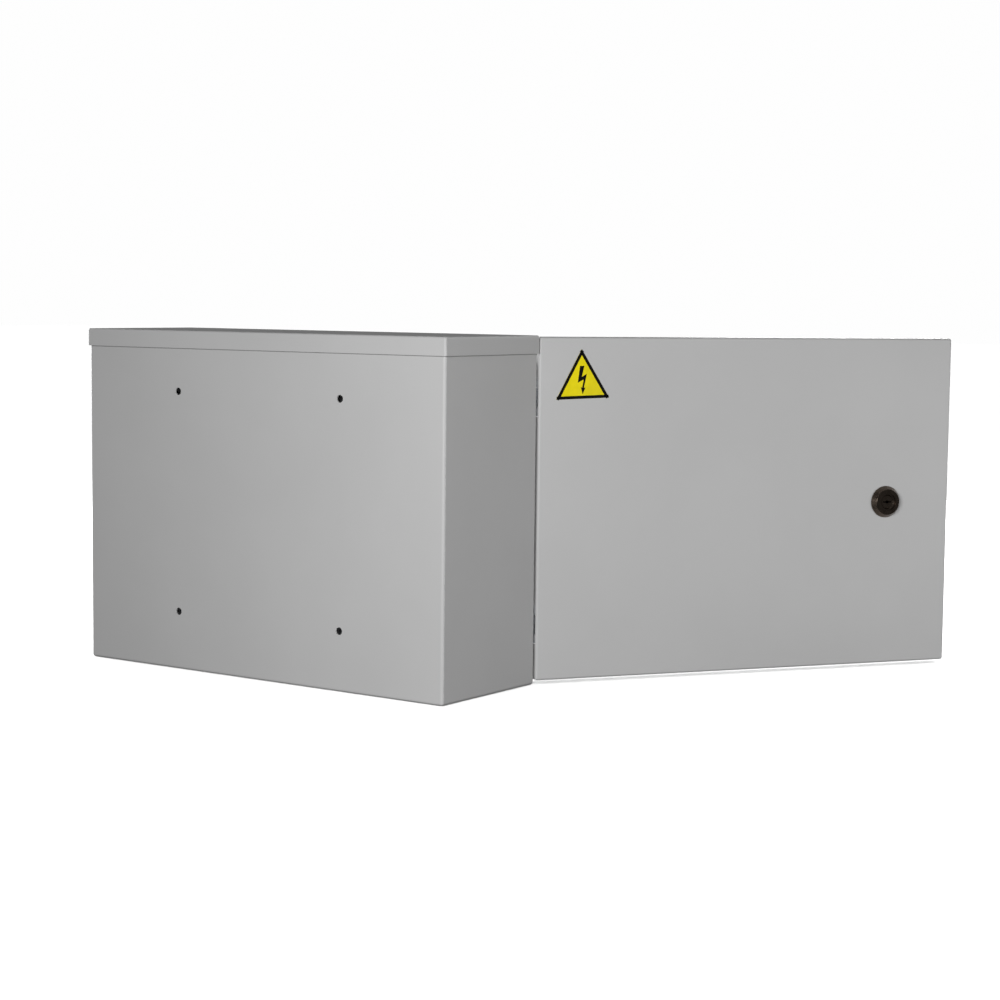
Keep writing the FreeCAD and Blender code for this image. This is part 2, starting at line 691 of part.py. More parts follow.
def lock_housing():
    """A bevelled bezel outside the door and a threaded barrel behind it."""
    centre = V(LOCK_X, DOOR_FACE, LOCK_Z)
    bezel = cone(LOCK_BASE_R, LOCK_FACE_R, centre - Y * 1.0, centre - Y * LOCK_PROUD)
    bezel = fuse(rod(LOCK_BASE_R, centre, centre - Y * 1.0), bezel)
    front = [e for e in bezel.Edges if abs(e.CenterOfMass.y - centre.y + LOCK_PROUD) < 0.01]
    bezel = bezel.makeFillet(0.8, front)
    barrel = rod(LOCK_BARREL_R, centre, V(LOCK_X, BARREL_BACK, LOCK_Z))
    bore = rod(PLUG_R + PLUG_RUN, centre - Y * 20, centre + Y * 40)
    return fuse(bezel, barrel).cut(bore)


def lock_nut():
    seat = V(LOCK_X, DOOR_INNER, LOCK_Z)
    outer, thick = LOCK_WASHER
    flats, height = LOCK_NUT
    return [washer(outer, LOCK_BARREL_R + WASHER_GAP, thick, seat, Y),
            nut(flats, height, LOCK_BARREL_R + THREAD_GAP, seat + Y * thick, Y)]


def lock_plug():
    """The turning plug: a sunk face with a keyway in front, a square tang behind."""
    centre = V(LOCK_X, DOOR_FACE - LOCK_PROUD + 0.8, LOCK_Z)
    body = rod(PLUG_R, centre, V(LOCK_X, CAM_FRONT, LOCK_Z))
    dish = cone(PLUG_R - 1.0, PLUG_R - 2.0, centre, centre + Y * 1.2)
    keyway = box(LOCK_X - KEYWAY_W / 2, LOCK_X + KEYWAY_W / 2, centre.y - 1, centre.y + 12.0,
                 LOCK_Z - KEYWAY_H / 2, LOCK_Z + KEYWAY_H / 2)
    ward = box(LOCK_X - 1.2, LOCK_X + 1.2, centre.y - 1, centre.y + 12.0, LOCK_Z - 1.3, LOCK_Z + 1.3)
    half = CAM_SQUARE / 2
    tang = box(LOCK_X - half, LOCK_X + half, BARREL_BACK, CAM_FRONT + CAM_T, LOCK_Z - half, LOCK_Z + half)
    tap = rod(1.6, V(LOCK_X, CAM_FRONT + CAM_T + 1, LOCK_Z), V(LOCK_X, BARREL_BACK - 6, LOCK_Z))
    return fuse(cut(body, dish, keyway, ward), tang).cut(tap)


def lock_cam():
    """The tongue, hanging down in the unlocked position, with a square eye on the plug."""
    y0 = CAM_FRONT
    arm = box(LOCK_X - CAM_W / 2, LOCK_X + CAM_W / 2, y0, y0 + CAM_T, LOCK_Z - CAM_L, LOCK_Z)
    eye = rod(CAM_W / 2, V(LOCK_X, y0, LOCK_Z), V(LOCK_X, y0 + CAM_T, LOCK_Z))
    cam = fuse(arm, eye)
    cam = rounded(cam, 3.0, lambda m, line: along(line, Y) and m.z < LOCK_Z - CAM_L + 0.1)
    half = CAM_SQUARE / 2 + CAM_FIT
    square = box(LOCK_X - half, LOCK_X + half, y0 - 1, y0 + CAM_T + 1, LOCK_Z - half, LOCK_Z + half)
    return cam.cut(square)


def cam_screw():
    seat = V(LOCK_X, CAM_FRONT + CAM_T, LOCK_Z)
    return fuse(pan_screw(1.5, 3.2, 2.2, seat + Y * 0.8, Y, 6.0), washer(6.5, 1.5, 0.8, seat, Y))


# ---------------------------------------------------------------- mounting plate and rails

def rail_screw_places():
    return [V(sx * RAIL_SCREW_X, PLATE_FRONT - RAIL_T, z)
            for sx in (-1, 1) for z in (UPPER_RAIL_Z, LOWER_RAIL_Z)]


def bar_mounts():
    """Centres of the insulators under the neutral bar, left, and the earth bar, right."""
    reach = BAR_L / 2 - BAR_END / 2
    middles = {"neutral": -PLATE_X + 70.0, "earth": PLATE_X - 80.0}
    return {name: [V(x - reach, PLATE_FRONT, BAR_Z), V(x + reach, PLATE_FRONT, BAR_Z)]
            for name, x in middles.items()}


def mounting_plate():
    plate = rounded_frame(-PLATE_X, PLATE_X, PLATE_LOW, PLATE_TOP, PLATE_FRONT, PLATE_BACK, PLATE_CORNER_R)
    places = [(p, STUD_R + STUD_CLEAR) for p in stud_places()]
    places += [(p, M4_R + THREAD_GAP) for p in rail_screw_places()]
    places += [(p, M4_R + THREAD_GAP) for pair in bar_mounts().values() for p in pair]
    holes = [rod(r, V(p.x, PLATE_BACK + 1, p.z), V(p.x, PLATE_FRONT - 1, p.z)) for p, r in places]
    return cut(plate, *holes)


def din_rail(z):
    """A slotted top-hat rail along X, standing on the plate."""
    half, hat = RAIL_W / 2, RAIL_HAT / 2
    steps = [(-half, RAIL_H), (-hat, RAIL_H), (-hat, RAIL_T), (hat, RAIL_T), (hat, RAIL_H), (half, RAIL_H),
             (half, RAIL_H - RAIL_T), (hat + RAIL_T, RAIL_H - RAIL_T), (hat + RAIL_T, 0),
             (-hat - RAIL_T, 0), (-hat - RAIL_T, RAIL_H - RAIL_T), (-half, RAIL_H - RAIL_T)]
    points = [V(-RAIL_END_X, PLATE_FRONT - d, z + w) for w, d in steps]
    rail = Part.Face(Part.makePolygon(points + points[:1])).extrude(X * (2 * RAIL_END_X))
    slots = []
    for i in range(RAIL_SLOTS):
        x = (i - (RAIL_SLOTS - 1) / 2) * RAIL_SLOT_PITCH
        run = RAIL_SLOT_L / 2 - RAIL_SLOT_W / 2
        slot = box(x - run, x + run, PLATE_FRONT - RAIL_T - 1, PLATE_FRONT + 1,
                   z - RAIL_SLOT_W / 2, z + RAIL_SLOT_W / 2)
        ends = [rod(RAIL_SLOT_W / 2, V(x + s * run, PLATE_FRONT + 1, z), V(x + s * run, PLATE_FRONT - 3, z))
                for s in (-1, 1)]
        slots.append(slot.fuse(ends))
    return cut(rail, *slots)


def panel_screws():
    """The M4 pan-head screws: rails, insulators and gland plate."""
    made = [pan_screw(M4_R, 3.8, 2.6, p, -Y, 5.0) for p in rail_screw_places()]
    shank = ENTRY_PLATE_T + GASKET_T + SHEET - 0.2
    made += [pan_screw(ENTRY_SCREW_R, 3.4, 2.2, p, Z, shank) for p in entry_screw_places()]
    return made


# ---------------------------------------------------------------- modular devices

def pocket_recess(x, z, d, head_r, depth):
    """A screw pocket sunk into a face that looks forward, with the screw's own hole below it."""
    floor = V(x, RAIL_FACE - d + depth, z)
    pocket = rod(head_r + HEAD_GAP, V(x, RAIL_FACE - d - 1, z), floor)
    thread = rod(TERMINAL_SCREW_R + THREAD_GAP, floor - Y * 0.1, floor + Y * (TERMINAL_SCREW_L + 0.5))
    return pocket.fuse(thread)


def pocket_screw(x, z, d, head_r, depth):
    """The screw that stands in such a pocket."""
    return pan_screw(TERMINAL_SCREW_R, head_r, 2.4, V(x, RAIL_FACE - d + depth, z), -Y, TERMINAL_SCREW_L)


def rail_channel(x0, x1, z):
    """The room that a housing leaves round the rail."""
    half = RAIL_W / 2 + RAIL_PLAY
    return forward(x0 - 1, x1 + 1, -BACK_D - 1, 0, z - half, z + half)


def module_profile(x0, x1, z, height, nose, shoulder_d, nose_d):
    """The stepped outline of a modular device, extruded across its width."""
    h, n = height / 2, nose / 2
    slope = 1.5
    outline = [(-h, -BACK_D), (-h, shoulder_d), (-n - slope, shoulder_d), (-n, nose_d), (n, nose_d),
               (n + slope, shoulder_d), (h, shoulder_d), (h, -BACK_D)]
    points = [V(x0, RAIL_FACE - d, z + w) for w, d in outline]
    solid = Part.Face(Part.makePolygon(points + points[:1])).extrude(X * (x1 - x0))
    solid = rounded(solid, 0.6, lambda m, line: along(line, X) and m.y < RAIL_FACE - shoulder_d + 0.1)
    return solid.cut(rail_channel(x0, x1, z))


def lever_axis(z):
    return V(0, RAIL_FACE - NOSE_D + DRUM_SINK, z)


def breaker_pole(x0, z):
    """One pole of a breaker: screw pockets, cable mouths and the lever's well."""
    x1, mid = x0 + POLE_W - FIT_GAP, x0 + (POLE_W - FIT_GAP) / 2
    pole = module_profile(x0, x1, z, MODULE_H, NOSE_H, SHOULDER_D, NOSE_D)
    axis = lever_axis(z)
    half = DRUM_W / 2 + DRUM_CLEAR
    tools = [rod(DRUM_R + DRUM_CLEAR, V(mid - half, axis.y, z), V(mid + half, axis.y, z))]
    for s in (-1, 1):
        tools.append(pocket_recess(mid, z + s * BREAKER_SCREW_Z, SHOULDER_D, *BREAKER_SCREW))
        edge = z + s * MODULE_H / 2
        inner = edge - s * 9.0
        tools.append(forward(mid - 4.5, mid + 4.5, 22.0, 33.0, min(edge + s, inner), max(edge + s, inner)))
    groove = forward(x0 - 1, x0 + 0.5, SHOULDER_D - 8, NOSE_D + 1, z - MODULE_H / 2 - 1, z + MODULE_H / 2 + 1)
    return cut(pole, *tools, groove)


def breaker(x0, z, poles):
    return [breaker_pole(x0 + i * POLE_W, z) for i in range(poles)]


def breaker_lever(x0, z, poles):
    """Drum and finger of each pole, with a tie bar through the fingers, drawn switched off."""
    axis = lever_axis(z)
    pieces = []
    mids = [x0 + i * POLE_W + (POLE_W - FIT_GAP) / 2 for i in range(poles)]
    for mid in mids:
        a, b = V(mid - DRUM_W / 2, axis.y, z), V(mid + DRUM_W / 2, axis.y, z)
        pieces.append(rod(DRUM_R, a, b))
        finger = box(mid - 4.5, mid + 4.5, axis.y - LEVER_REACH, axis.y - 4.0, z - 2.6, z + 2.6)
        finger = rounded(finger, 1.2, lambda m, line: m.y < axis.y - LEVER_REACH + 0.1)
        pieces.append(finger)
    if poles > 1:
        y = axis.y - LEVER_REACH + 4.5
        pieces.append(rod(1.8, V(mids[0], y, z), V(mids[-1], y, z)))
    whole = fuse(*pieces) if len(pieces) > 1 else pieces[0]
    return whole.rotate(V(0, axis.y, z), X, LEVER_OFF)


def end_clamp(x0, z):
    body = module_profile(x0, x0 + CLAMP_W - FIT_GAP, z, 42.0, 20.0, 18.0, CLAMP_D)
    mid = x0 + (CLAMP_W - FIT_GAP) / 2
    return body.cut(pocket_recess(mid, z, CLAMP_D, *CLAMP_SCREW))


# positions along the upper rail
UPPER_CLAMP_X = ROW_START
MAINS_BREAKER_X = UPPER_CLAMP_X + CLAMP_W
GENERATOR_BREAKER_X = MAINS_BREAKER_X + 3 * POLE_W + 2.0
CONTROL_BREAKER_X = GENERATOR_BREAKER_X + 3 * POLE_W + 2.0
CONTROLLER_X = CONTROL_BREAKER_X + POLE_W + 2.0
RELAY_X = [CONTROLLER_X + CONTROLLER_W + 3.0 + i * (RELAY_W + 0.6) for i in range(2)]
UPPER_LAST_CLAMP_X = RELAY_X[-1] + RELAY_W + 0.6

# positions along the lower rail
MAINS_CONTACTOR_X = UPPER_CLAMP_X + CLAMP_W
INTERLOCK_X = MAINS_CONTACTOR_X + CONTACTOR_W + FIT_GAP
GENERATOR_CONTACTOR_X = INTERLOCK_X + INTERLOCK_W + FIT_GAP
MIDDLE_CLAMP_X = GENERATOR_CONTACTOR_X + CONTACTOR_W + FIT_GAP
BLOCKS_X = MIDDLE_CLAMP_X + CLAMP_W + BLOCKS_FROM_CLAMP
LOWER_LAST_CLAMP_X = BLOCKS_X + BLOCKS * BLOCK_W + 1.6


def end_clamp_places():
    return [(UPPER_CLAMP_X, UPPER_RAIL_Z), (UPPER_LAST_CLAMP_X, UPPER_RAIL_Z),
            (UPPER_CLAMP_X, LOWER_RAIL_Z), (MIDDLE_CLAMP_X, LOWER_RAIL_Z),
            (LOWER_LAST_CLAMP_X, LOWER_RAIL_Z)]


def end_clamps():
    return [end_clamp(x, z) for x, z in end_clamp_places()]


# ---------------------------------------------------------------- transfer controller


def controller_middle():
    return CONTROLLER_X + CONTROLLER_W / 2


def controller_terminal_places():
    """Six screws above and six below."""
    step = CONTROLLER_W / 6
    xs = [CONTROLLER_X + step * (i + 0.5) for i in range(6)]
    return [V(x, 0, UPPER_RAIL_Z + s * CONTROLLER_SCREW_Z) for x in xs for s in (-1, 1)]


def lamp_places():
    return [V(controller_middle() + (i - 1.5) * LAMP_STEP, 0, UPPER_RAIL_Z + LAMP_RISE) for i in range(4)]


def knob_centre(name):
    return V(controller_middle() + KNOBS[name], RAIL_FACE - NOSE_D, UPPER_RAIL_Z + KNOB_RISE)


def button_centre():
    return V(controller_middle() + BUTTON_OUT, RAIL_FACE - NOSE_D, UPPER_RAIL_Z + KNOB_RISE)


def controller_case():
    z, x1 = UPPER_RAIL_Z, CONTROLLER_X + CONTROLLER_W - FIT_GAP
    case = module_profile(CONTROLLER_X, x1, z, CONTROLLER_H, NOSE_H, SHOULDER_D, NOSE_D)
    mid = controller_middle()
    wide, high = FACE_W / 2 + FACE_GAP, FACE_H / 2 + FACE_GAP
    seat = forward(mid - wide, mid + wide, NOSE_D - FACE_T / 2, NOSE_D + 1, z - high, z + high)
    tools = [seat]
    for p in controller_terminal_places():
        tools.append(pocket_recess(p.x, p.z, SHOULDER_D, *CONTROLLER_SCREW))
        edge = z + math.copysign(CONTROLLER_H / 2, p.z - z)
        s = math.copysign(1, p.z - z)
        inner = edge - s * 7.0
        tools.append(forward(p.x - 2.6, p.x + 2.6, 28.0, 33.5, min(edge + s, inner), max(edge + s, inner)))
    for name in KNOBS:
        c = knob_centre(name)
        tools.append(rod(KNOB_STEM_R + KNOB_RUN, c - Y, c + Y * 9))
    c = button_centre()
    tools.append(rod(BUTTON_R + FACE_GAP, c - Y, c + Y * 9))
    return cut(case, *tools)


def controller_face():
    z, mid = UPPER_RAIL_Z, controller_middle()
    face = forward(mid - FACE_W / 2, mid + FACE_W / 2, NOSE_D - FACE_T / 2, NOSE_D + FACE_T / 2,
                   z - FACE_H / 2, z + FACE_H / 2)
    face = rounded(face, 2.0, lambda m, line: along(line, Y))
    tools = [rod(LAMP_R, V(p.x, RAIL_FACE - NOSE_D - 2, p.z), V(p.x, RAIL_FACE - NOSE_D + 2, p.z))
             for p in lamp_places()]
    tools += [rod(KNOB_STEM_R + KNOB_RUN, knob_centre(n) - Y * 2, knob_centre(n) + Y * 2) for n in KNOBS]
    tools.append(rod(BUTTON_R + FACE_GAP, button_centre() - Y * 2, button_centre() + Y * 2))
    return cut(face, *tools)


def controller_lamps():
    made = []
    for p in lamp_places():
        back = V(p.x, RAIL_FACE - NOSE_D + FACE_T / 2, p.z)
        stem = rod(LAMP_R, back, back - Y * FACE_T)
        dome = Part.makeSphere(LAMP_R, back - Y * FACE_T)
        dome = dome.common(box(p.x - 3, p.x + 3, back.y - FACE_T - 3, back.y - FACE_T, p.z - 3, p.z + 3))
        made.append(fuse(stem, dome))
    return made


def knob(name):
    """A grip knob with an arrow groove, on a stem that turns in the case."""
    c = knob_centre(name)
    base = c - Y * (FACE_T / 2 + 0.4)
    grip = rod(KNOB_R, base, base - Y * KNOB_H)
    front = [e for e in grip.Edges if e.CenterOfMass.y < base.y - KNOB_H * 0.9]
    grip = grip.makeFillet(0.8, front)
    flutes = [rod(0.8, V(c.x + KNOB_R * math.cos(a), base.y + 1, c.z + KNOB_R * math.sin(a)),
                  V(c.x + KNOB_R * math.cos(a), base.y - KNOB_H - 1, c.z + KNOB_R * math.sin(a)))
              for a in (math.radians(360 * i / KNOB_FLUTES) for i in range(KNOB_FLUTES))]
    top = base.y - KNOB_H
    pointer = box(c.x - 0.6, c.x + 0.6, top - 1, top + 0.8, c.z + 0.5, c.z + KNOB_R - 1)
    return fuse(cut(grip, pointer, *flutes), rod(KNOB_STEM_R, base - Y * 0.5, c + Y * 8.0))


def test_button():
    c = button_centre()
    tip = c - Y * (FACE_T / 2 + BUTTON_TRAVEL + 0.6)
    stem = rod(BUTTON_R, tip, c + Y * (8.0 - BUTTON_TRAVEL))
    front = [e for e in stem.Edges if e.CenterOfMass.y < tip.y + 0.1]
    return stem.makeFillet(0.6, front)


# ---------------------------------------------------------------- relays

def relay_terminal_places():
    return [V(x + RELAY_W * (0.22 + 0.28 * i), 0, UPPER_RAIL_Z + s * 30.0)
            for x in RELAY_X for i in range(3) for s in (-1, 1)]


def relay_sockets():
    made = []
    for x in RELAY_X:
        z = UPPER_RAIL_Z
        body = module_profile(x, x + RELAY_W, z, SOCKET_H, 50.0, SOCKET_SHOULDER_D, SOCKET_D)
        tools = []
        for p in relay_terminal_places():
            if x < p.x < x + RELAY_W:
                tools.append(pocket_recess(p.x, p.z, SOCKET_SHOULDER_D, *RELAY_SCREW))
                outer = UPPER_RAIL_Z + math.copysign(SOCKET_H / 2 + 1, p.z - UPPER_RAIL_Z)
                tools.append(forward(p.x - 2.4, p.x + 2.4, SOCKET_WIRE_D - 2.4, SOCKET_WIRE_D + 2.4,
                                     min(outer, p.z), max(outer, p.z)))
        made.append(cut(body, *tools))
    return made


def relay_box(x, grow):
    mid = x + RELAY_W / 2
    w, h = RELAY_BODY_W / 2 - grow, RELAY_BODY_H / 2 - grow
    return forward(mid - w, mid + w, SOCKET_D, SOCKET_D + RELAY_BODY_D - grow,
                   UPPER_RAIL_Z - h, UPPER_RAIL_Z + h)


def relay_covers():
    """Clear plastic caps, open towards the socket."""
    made = []
    for x in RELAY_X:
        outer = rounded(relay_box(x, 0.0), 1.2, lambda m, line: m.y < RAIL_FACE - SOCKET_D - 0.1)
        made.append(outer.cut(relay_box(x, RELAY_WALL)))
    return made


def relay_cores():
    """Base, yoke and coil inside each clear cap."""
    made = []
    for x in RELAY_X:
        mid, z = x + RELAY_W / 2, UPPER_RAIL_Z
        base = forward(mid - 9.5, mid + 9.5, SOCKET_D, SOCKET_D + 6.0, z - 13.5, z + 13.5)
        front = RAIL_FACE - SOCKET_D - 6.0
        coil = rod(7.0, V(mid, front, z - 3.0), V(mid, front - 17.0, z - 3.0))
        flange = rod(8.2, V(mid, front - 17.0, z - 3.0), V(mid, front - 19.0, z - 3.0))
        yoke = box(mid - 6.0, mid + 6.0, front - 22.0, front, z + 8.0, z + 10.0)
        plate = box(mid - 6.0, mid + 6.0, front - 22.0, front - 20.0, z - 9.0, z + 10.0)
        post = rod(2.0, V(mid, front - 19.0, z - 3.0), V(mid, front - 20.0, z - 3.0))
        made.append(fuse(base, coil, flange, post, yoke, plate))
    return made


# ---------------------------------------------------------------- contactors

def contactor_poles(x0):
    """Centres of the three main poles and the auxiliary one."""
    first = x0 + CONTACTOR_W / 2 - 1.5 * POLE_PITCH
    return [first + i * POLE_PITCH for i in range(4)]


def contactor_base(x0):
    """Lower half with the coil: rail foot and two coil terminals on the upper shoulder."""
    z = LOWER_RAIL_Z
    base = forward(x0, x0 + CONTACTOR_W, -BACK_D, BASE_D, z - CONTACTOR_H / 2, z + CONTACTOR_H / 2)
    base = rounded(base, 1.5, lambda m, line: along(line, Y))
    side_cuts = [forward(x0 + a, x0 + b, 12.0, 26.0, z - 20.0, z + 20.0)
                 for a, b in ((-1, 0.8), (CONTACTOR_W - 0.8, CONTACTOR_W + 1))]
    mouths = []
    for x in coil_terminal_xs(x0):
        mouths.append(forward(x - 2.6, x + 2.6, 24.0, 29.0, z + CONTACTOR_H / 2 - 7, z + CONTACTOR_H / 2 + 1))
    return cut(base, rail_channel(x0, x0 + CONTACTOR_W, z), *side_cuts, *mouths)


def coil_terminal_xs(x0):
    return [x0 + 8.0, x0 + CONTACTOR_W - 8.0]


def contactor_housing(x0):
    """Upper half: terminal wells with barriers between them, and the arc chamber in front."""
    z, half = LOWER_RAIL_Z, CONTACTOR_H / 2
    low = forward(x0, x0 + CONTACTOR_W, BASE_D + 0.2, TERMINAL_D, z - half, z + half)
    nose = forward(x0 + 1.0, x0 + CONTACTOR_W - 1.0, TERMINAL_D - 1, ARC_D, z - ARC_H / 2, z + ARC_H / 2)
    nose = rounded(nose, 1.6, lambda m, line: m.y < RAIL_FACE - ARC_D + 0.1 or along(line, Y))
    tools = []
    for x in contactor_poles(x0):
        for s in (-1, 1):
            edge, inner = z + s * (half + 1), z + s * (ARC_H / 2 + 0.5)
            tools.append(forward(x - WELL_W / 2, x + WELL_W / 2, WELL_FLOOR_D, TERMINAL_D + 1,
                                 min(edge, inner), max(edge, inner)))
    w, h = CARRIER_W / 2 + CARRIER_CLEAR, CARRIER_H / 2 + CARRIER_CLEAR
    mid = x0 + CONTACTOR_W / 2
    depth = CARRIER_L + CARRIER_TRAVEL
    tools.append(forward(mid - w, mid + w, ARC_D - depth, ARC_D + 1, z - h, z + h))
    for s in (-1, 1):
        for i in range(3):
            zz = z + s * (CARRIER_H / 2 + 5.0 + 3.2 * i)
            tools.append(forward(mid - 13.0, mid + 13.0, ARC_D - 1.0, ARC_D + 1, zz - 0.7, zz + 0.7))
    return cut(fuse(low, nose), *tools)


def contactor_terminals():
    """A clamp plate and its screw in every terminal well."""
    made = []
    for x0 in (MAINS_CONTACTOR_X, GENERATOR_CONTACTOR_X):
        for x in contactor_poles(x0):
            for s in (-1, 1):
                z = LOWER_RAIL_Z + s * (ARC_H / 2 + 6.5)
                top = WELL_FLOOR_D + CLAMP_PLATE_T + PHASE_WIRE + 2 * THREAD_GAP
                axis = rod(1.9 + THREAD_GAP, V(x, RAIL_FACE, z), V(x, RAIL_FACE - TERMINAL_D, z))
                for d in (WELL_FLOOR_D, top):
                    plate = forward(x - 4.2, x + 4.2, d, d + CLAMP_PLATE_T, z - 4.6, z + 4.6)
                    made.append(plate.cut(axis))
                seat = V(x, RAIL_FACE - top - CLAMP_PLATE_T, z)
                made.append(pan_screw(1.9, 3.6, 2.8, seat, -Y, top + CLAMP_PLATE_T - WELL_FLOOR_D - 0.1))
    return made


def contactor_carrier(x0):
    """The moving contact carrier's front, which shows and lets a hand test the contactor."""
    z, mid = LOWER_RAIL_Z, x0 + CONTACTOR_W / 2
    block = forward(mid - CARRIER_W / 2, mid + CARRIER_W / 2, ARC_D + CARRIER_PROUD - CARRIER_L,
                    ARC_D + CARRIER_PROUD, z - CARRIER_H / 2, z + CARRIER_H / 2)
    block = rounded(block, 0.6, lambda m, line: m.y < RAIL_FACE - ARC_D - CARRIER_PROUD + 0.1)
    return block.cut(forward(mid - 4.0, mid + 4.0, ARC_D, ARC_D + 2, z - 0.6, z + 0.6))


def interlock_module():
    """Mechanical interlock between the contactors."""
    z, x1 = LOWER_RAIL_Z, INTERLOCK_X + INTERLOCK_W - FIT_GAP
    body = forward(INTERLOCK_X, x1, 6.0, 70.0, z - 30.0, z + 30.0)
    body = rounded(body, 2.0, lambda m, line: along(line, X))
    mid = (INTERLOCK_X + x1) / 2
    marks = [forward(mid - 2.5, mid + 2.5, 69.0, 71.0, z + s * 12.0 - 4.0, z + s * 12.0 + 4.0)
             for s in (-1, 1)]
    return cut(body, *marks)


# ---------------------------------------------------------------- field terminals and bars

def terminal_blocks():
    """Thirteen feed-through blocks: load, generator control, neutral and earth."""
    made = []
    z, h = LOWER_RAIL_Z, BLOCK_H / 2
    outline = [(-h, -BACK_D), (-h, 16.0), (-h + 6.0, BLOCK_D - 8.0), (-8.0, BLOCK_D), (8.0, BLOCK_D),
               (h - 6.0, BLOCK_D - 8.0), (h, 16.0), (h, -BACK_D)]
    for i in range(BLOCKS):
        x0 = BLOCKS_X + i * BLOCK_W
        points = [V(x0, RAIL_FACE - d, z + w) for w, d in outline]
        block = Part.Face(Part.makePolygon(points + points[:1])).extrude(X * (BLOCK_W - FIT_GAP))
        mid = x0 + (BLOCK_W - FIT_GAP) / 2
        tools = [rail_channel(x0, x0 + BLOCK_W, z)]
        for s in (-1, 1):
            tools.append(pocket_recess(mid, z + s * BLOCK_SCREW_Z, BLOCK_D, *BLOCK_SCREW))
            edge, inner = z + s * (h + 1), z + s * (h - 7.0)
            tools.append(forward(mid - 2.9, mid + 2.9, 19.0, 25.0, min(edge, inner), max(edge, inner)))
        made.append(cut(block, *tools))
    return made


def block_middle(i):
    return BLOCKS_X + i * BLOCK_W + (BLOCK_W - FIT_GAP) / 2


def terminal_screws():
    """The screws of the breakers, controller, relay sockets, blocks and end clamps."""
    made = []
    for x0, poles in ((MAINS_BREAKER_X, 3), (GENERATOR_BREAKER_X, 3), (CONTROL_BREAKER_X, 1)):
        for i in range(poles):
            mid = x0 + i * POLE_W + (POLE_W - FIT_GAP) / 2
            for s in (-1, 1):
                made.append(pocket_screw(mid, UPPER_RAIL_Z + s * BREAKER_SCREW_Z, SHOULDER_D, *BREAKER_SCREW))
    for p in controller_terminal_places():
        made.append(pocket_screw(p.x, p.z, SHOULDER_D, *CONTROLLER_SCREW))
    for p in relay_terminal_places():
        made.append(pocket_screw(p.x, p.z, SOCKET_SHOULDER_D, *RELAY_SCREW))
    for i in range(BLOCKS):
        for s in (-1, 1):
            z = LOWER_RAIL_Z + s * BLOCK_SCREW_Z
            made.append(pocket_screw(block_middle(i), z, BLOCK_D, *BLOCK_SCREW))
    for x, z in end_clamp_places():
        made.append(pocket_screw(x + (CLAMP_W - FIT_GAP) / 2, z, CLAMP_D, *CLAMP_SCREW))
    return made


def terminal_bar(name):
    """A drilled bar on its two insulators, with a row of wire holes from below."""
    left, right = bar_mounts()[name]
    x0, x1 = left.x - BAR_END / 2, right.x + BAR_END / 2
    bar = box(x0, x1, BAR_Y - BAR_T, BAR_Y, BAR_Z - BAR_H / 2, BAR_Z + BAR_H / 2)
    bar = rounded(bar, 0.8, lambda m, line: along(line, X))
    tools = [rod(2.3, V(p.x, BAR_Y + 1, p.z), V(p.x, BAR_Y - BAR_T - 1, p.z)) for p in (left, right)]
    for x in bar_screw_xs(name):
        tools.append(rod(1.5, V(x, BAR_Y - BAR_T - 1, BAR_Z), V(x, BAR_Y - BAR_T / 2, BAR_Z)))
        tools.append(rod(2.3, V(x, BAR_Y - BAR_T / 2, BAR_Z - BAR_H), V(x, BAR_Y - BAR_T / 2, BAR_Z)))
    return cut(bar, *tools)


def bar_screw_xs(name):
    left, right = bar_mounts()[name]
    a, b = left.x + BAR_END * 0.75, right.x - BAR_END * 0.75
    return [a + (b - a) * i / (BAR_SCREWS - 1) for i in range(BAR_SCREWS)]


def bar_insulators():
    """Ribbed posts between the plate and the bars."""
    made = []
    for pair in bar_mounts().values():
        for p in pair:
            post = rod(6.0, p, p - Y * BAR_STANDOFF)
            ribs = [rod(7.0, p - Y * d, p - Y * (d + 3.0)) for d in (3.0, 9.0)]
            bore = rod(M4_R + THREAD_GAP, p + Y, p - Y * (BAR_STANDOFF + 1))
            made.append(fuse(post, *ribs).cut(bore))
    return made


def bar_screws():
    """Clamping screws along the bars, and the long screws through bar, insulator and plate."""
    made = []
    front = BAR_Y - BAR_T
    for name, pair in bar_mounts().items():
        for x in bar_screw_xs(name):
            made.append(pan_screw(1.45, 2.9, 2.6, V(x, front, BAR_Z), -Y, 1.0))
        for p in pair:
            made.append(pan_screw(M4_R, 3.6, 2.8, V(p.x, front, p.z), -Y, BAR_T + BAR_STANDOFF + 3.0))
    return made


# ---------------------------------------------------------------- wiring

def at(x, d, z):
    """A point at depth d in front of the rails."""
    return V(x, RAIL_FACE - d, z)


def breaker_pole_x(x0, i):
    return x0 + i * POLE_W + (POLE_W - FIT_GAP) / 2


def supply_wire(breaker_x, contactor_x, i):
    """From a breaker's lower mouth down to the contactor's upper terminal."""
    a, b = breaker_pole_x(breaker_x, i), contactor_poles(contactor_x)[i]
    top = UPPER_RAIL_Z - MODULE_H / 2
    low = LOWER_RAIL_Z + CONTACTOR_H / 2
    return lead([at(a, BREAKER_WIRE_D, top + WIRE_IN), at(a, BREAKER_WIRE_D, top - 7.0),
                 at(b, POLE_WIRE_D, low + 7.0), at(b, POLE_WIRE_D, low - WIRE_IN)], PHASE_WIRE)


def phase_depth(i):
    return POLE_WIRE_D + (i - 1) * PHASE_STEP


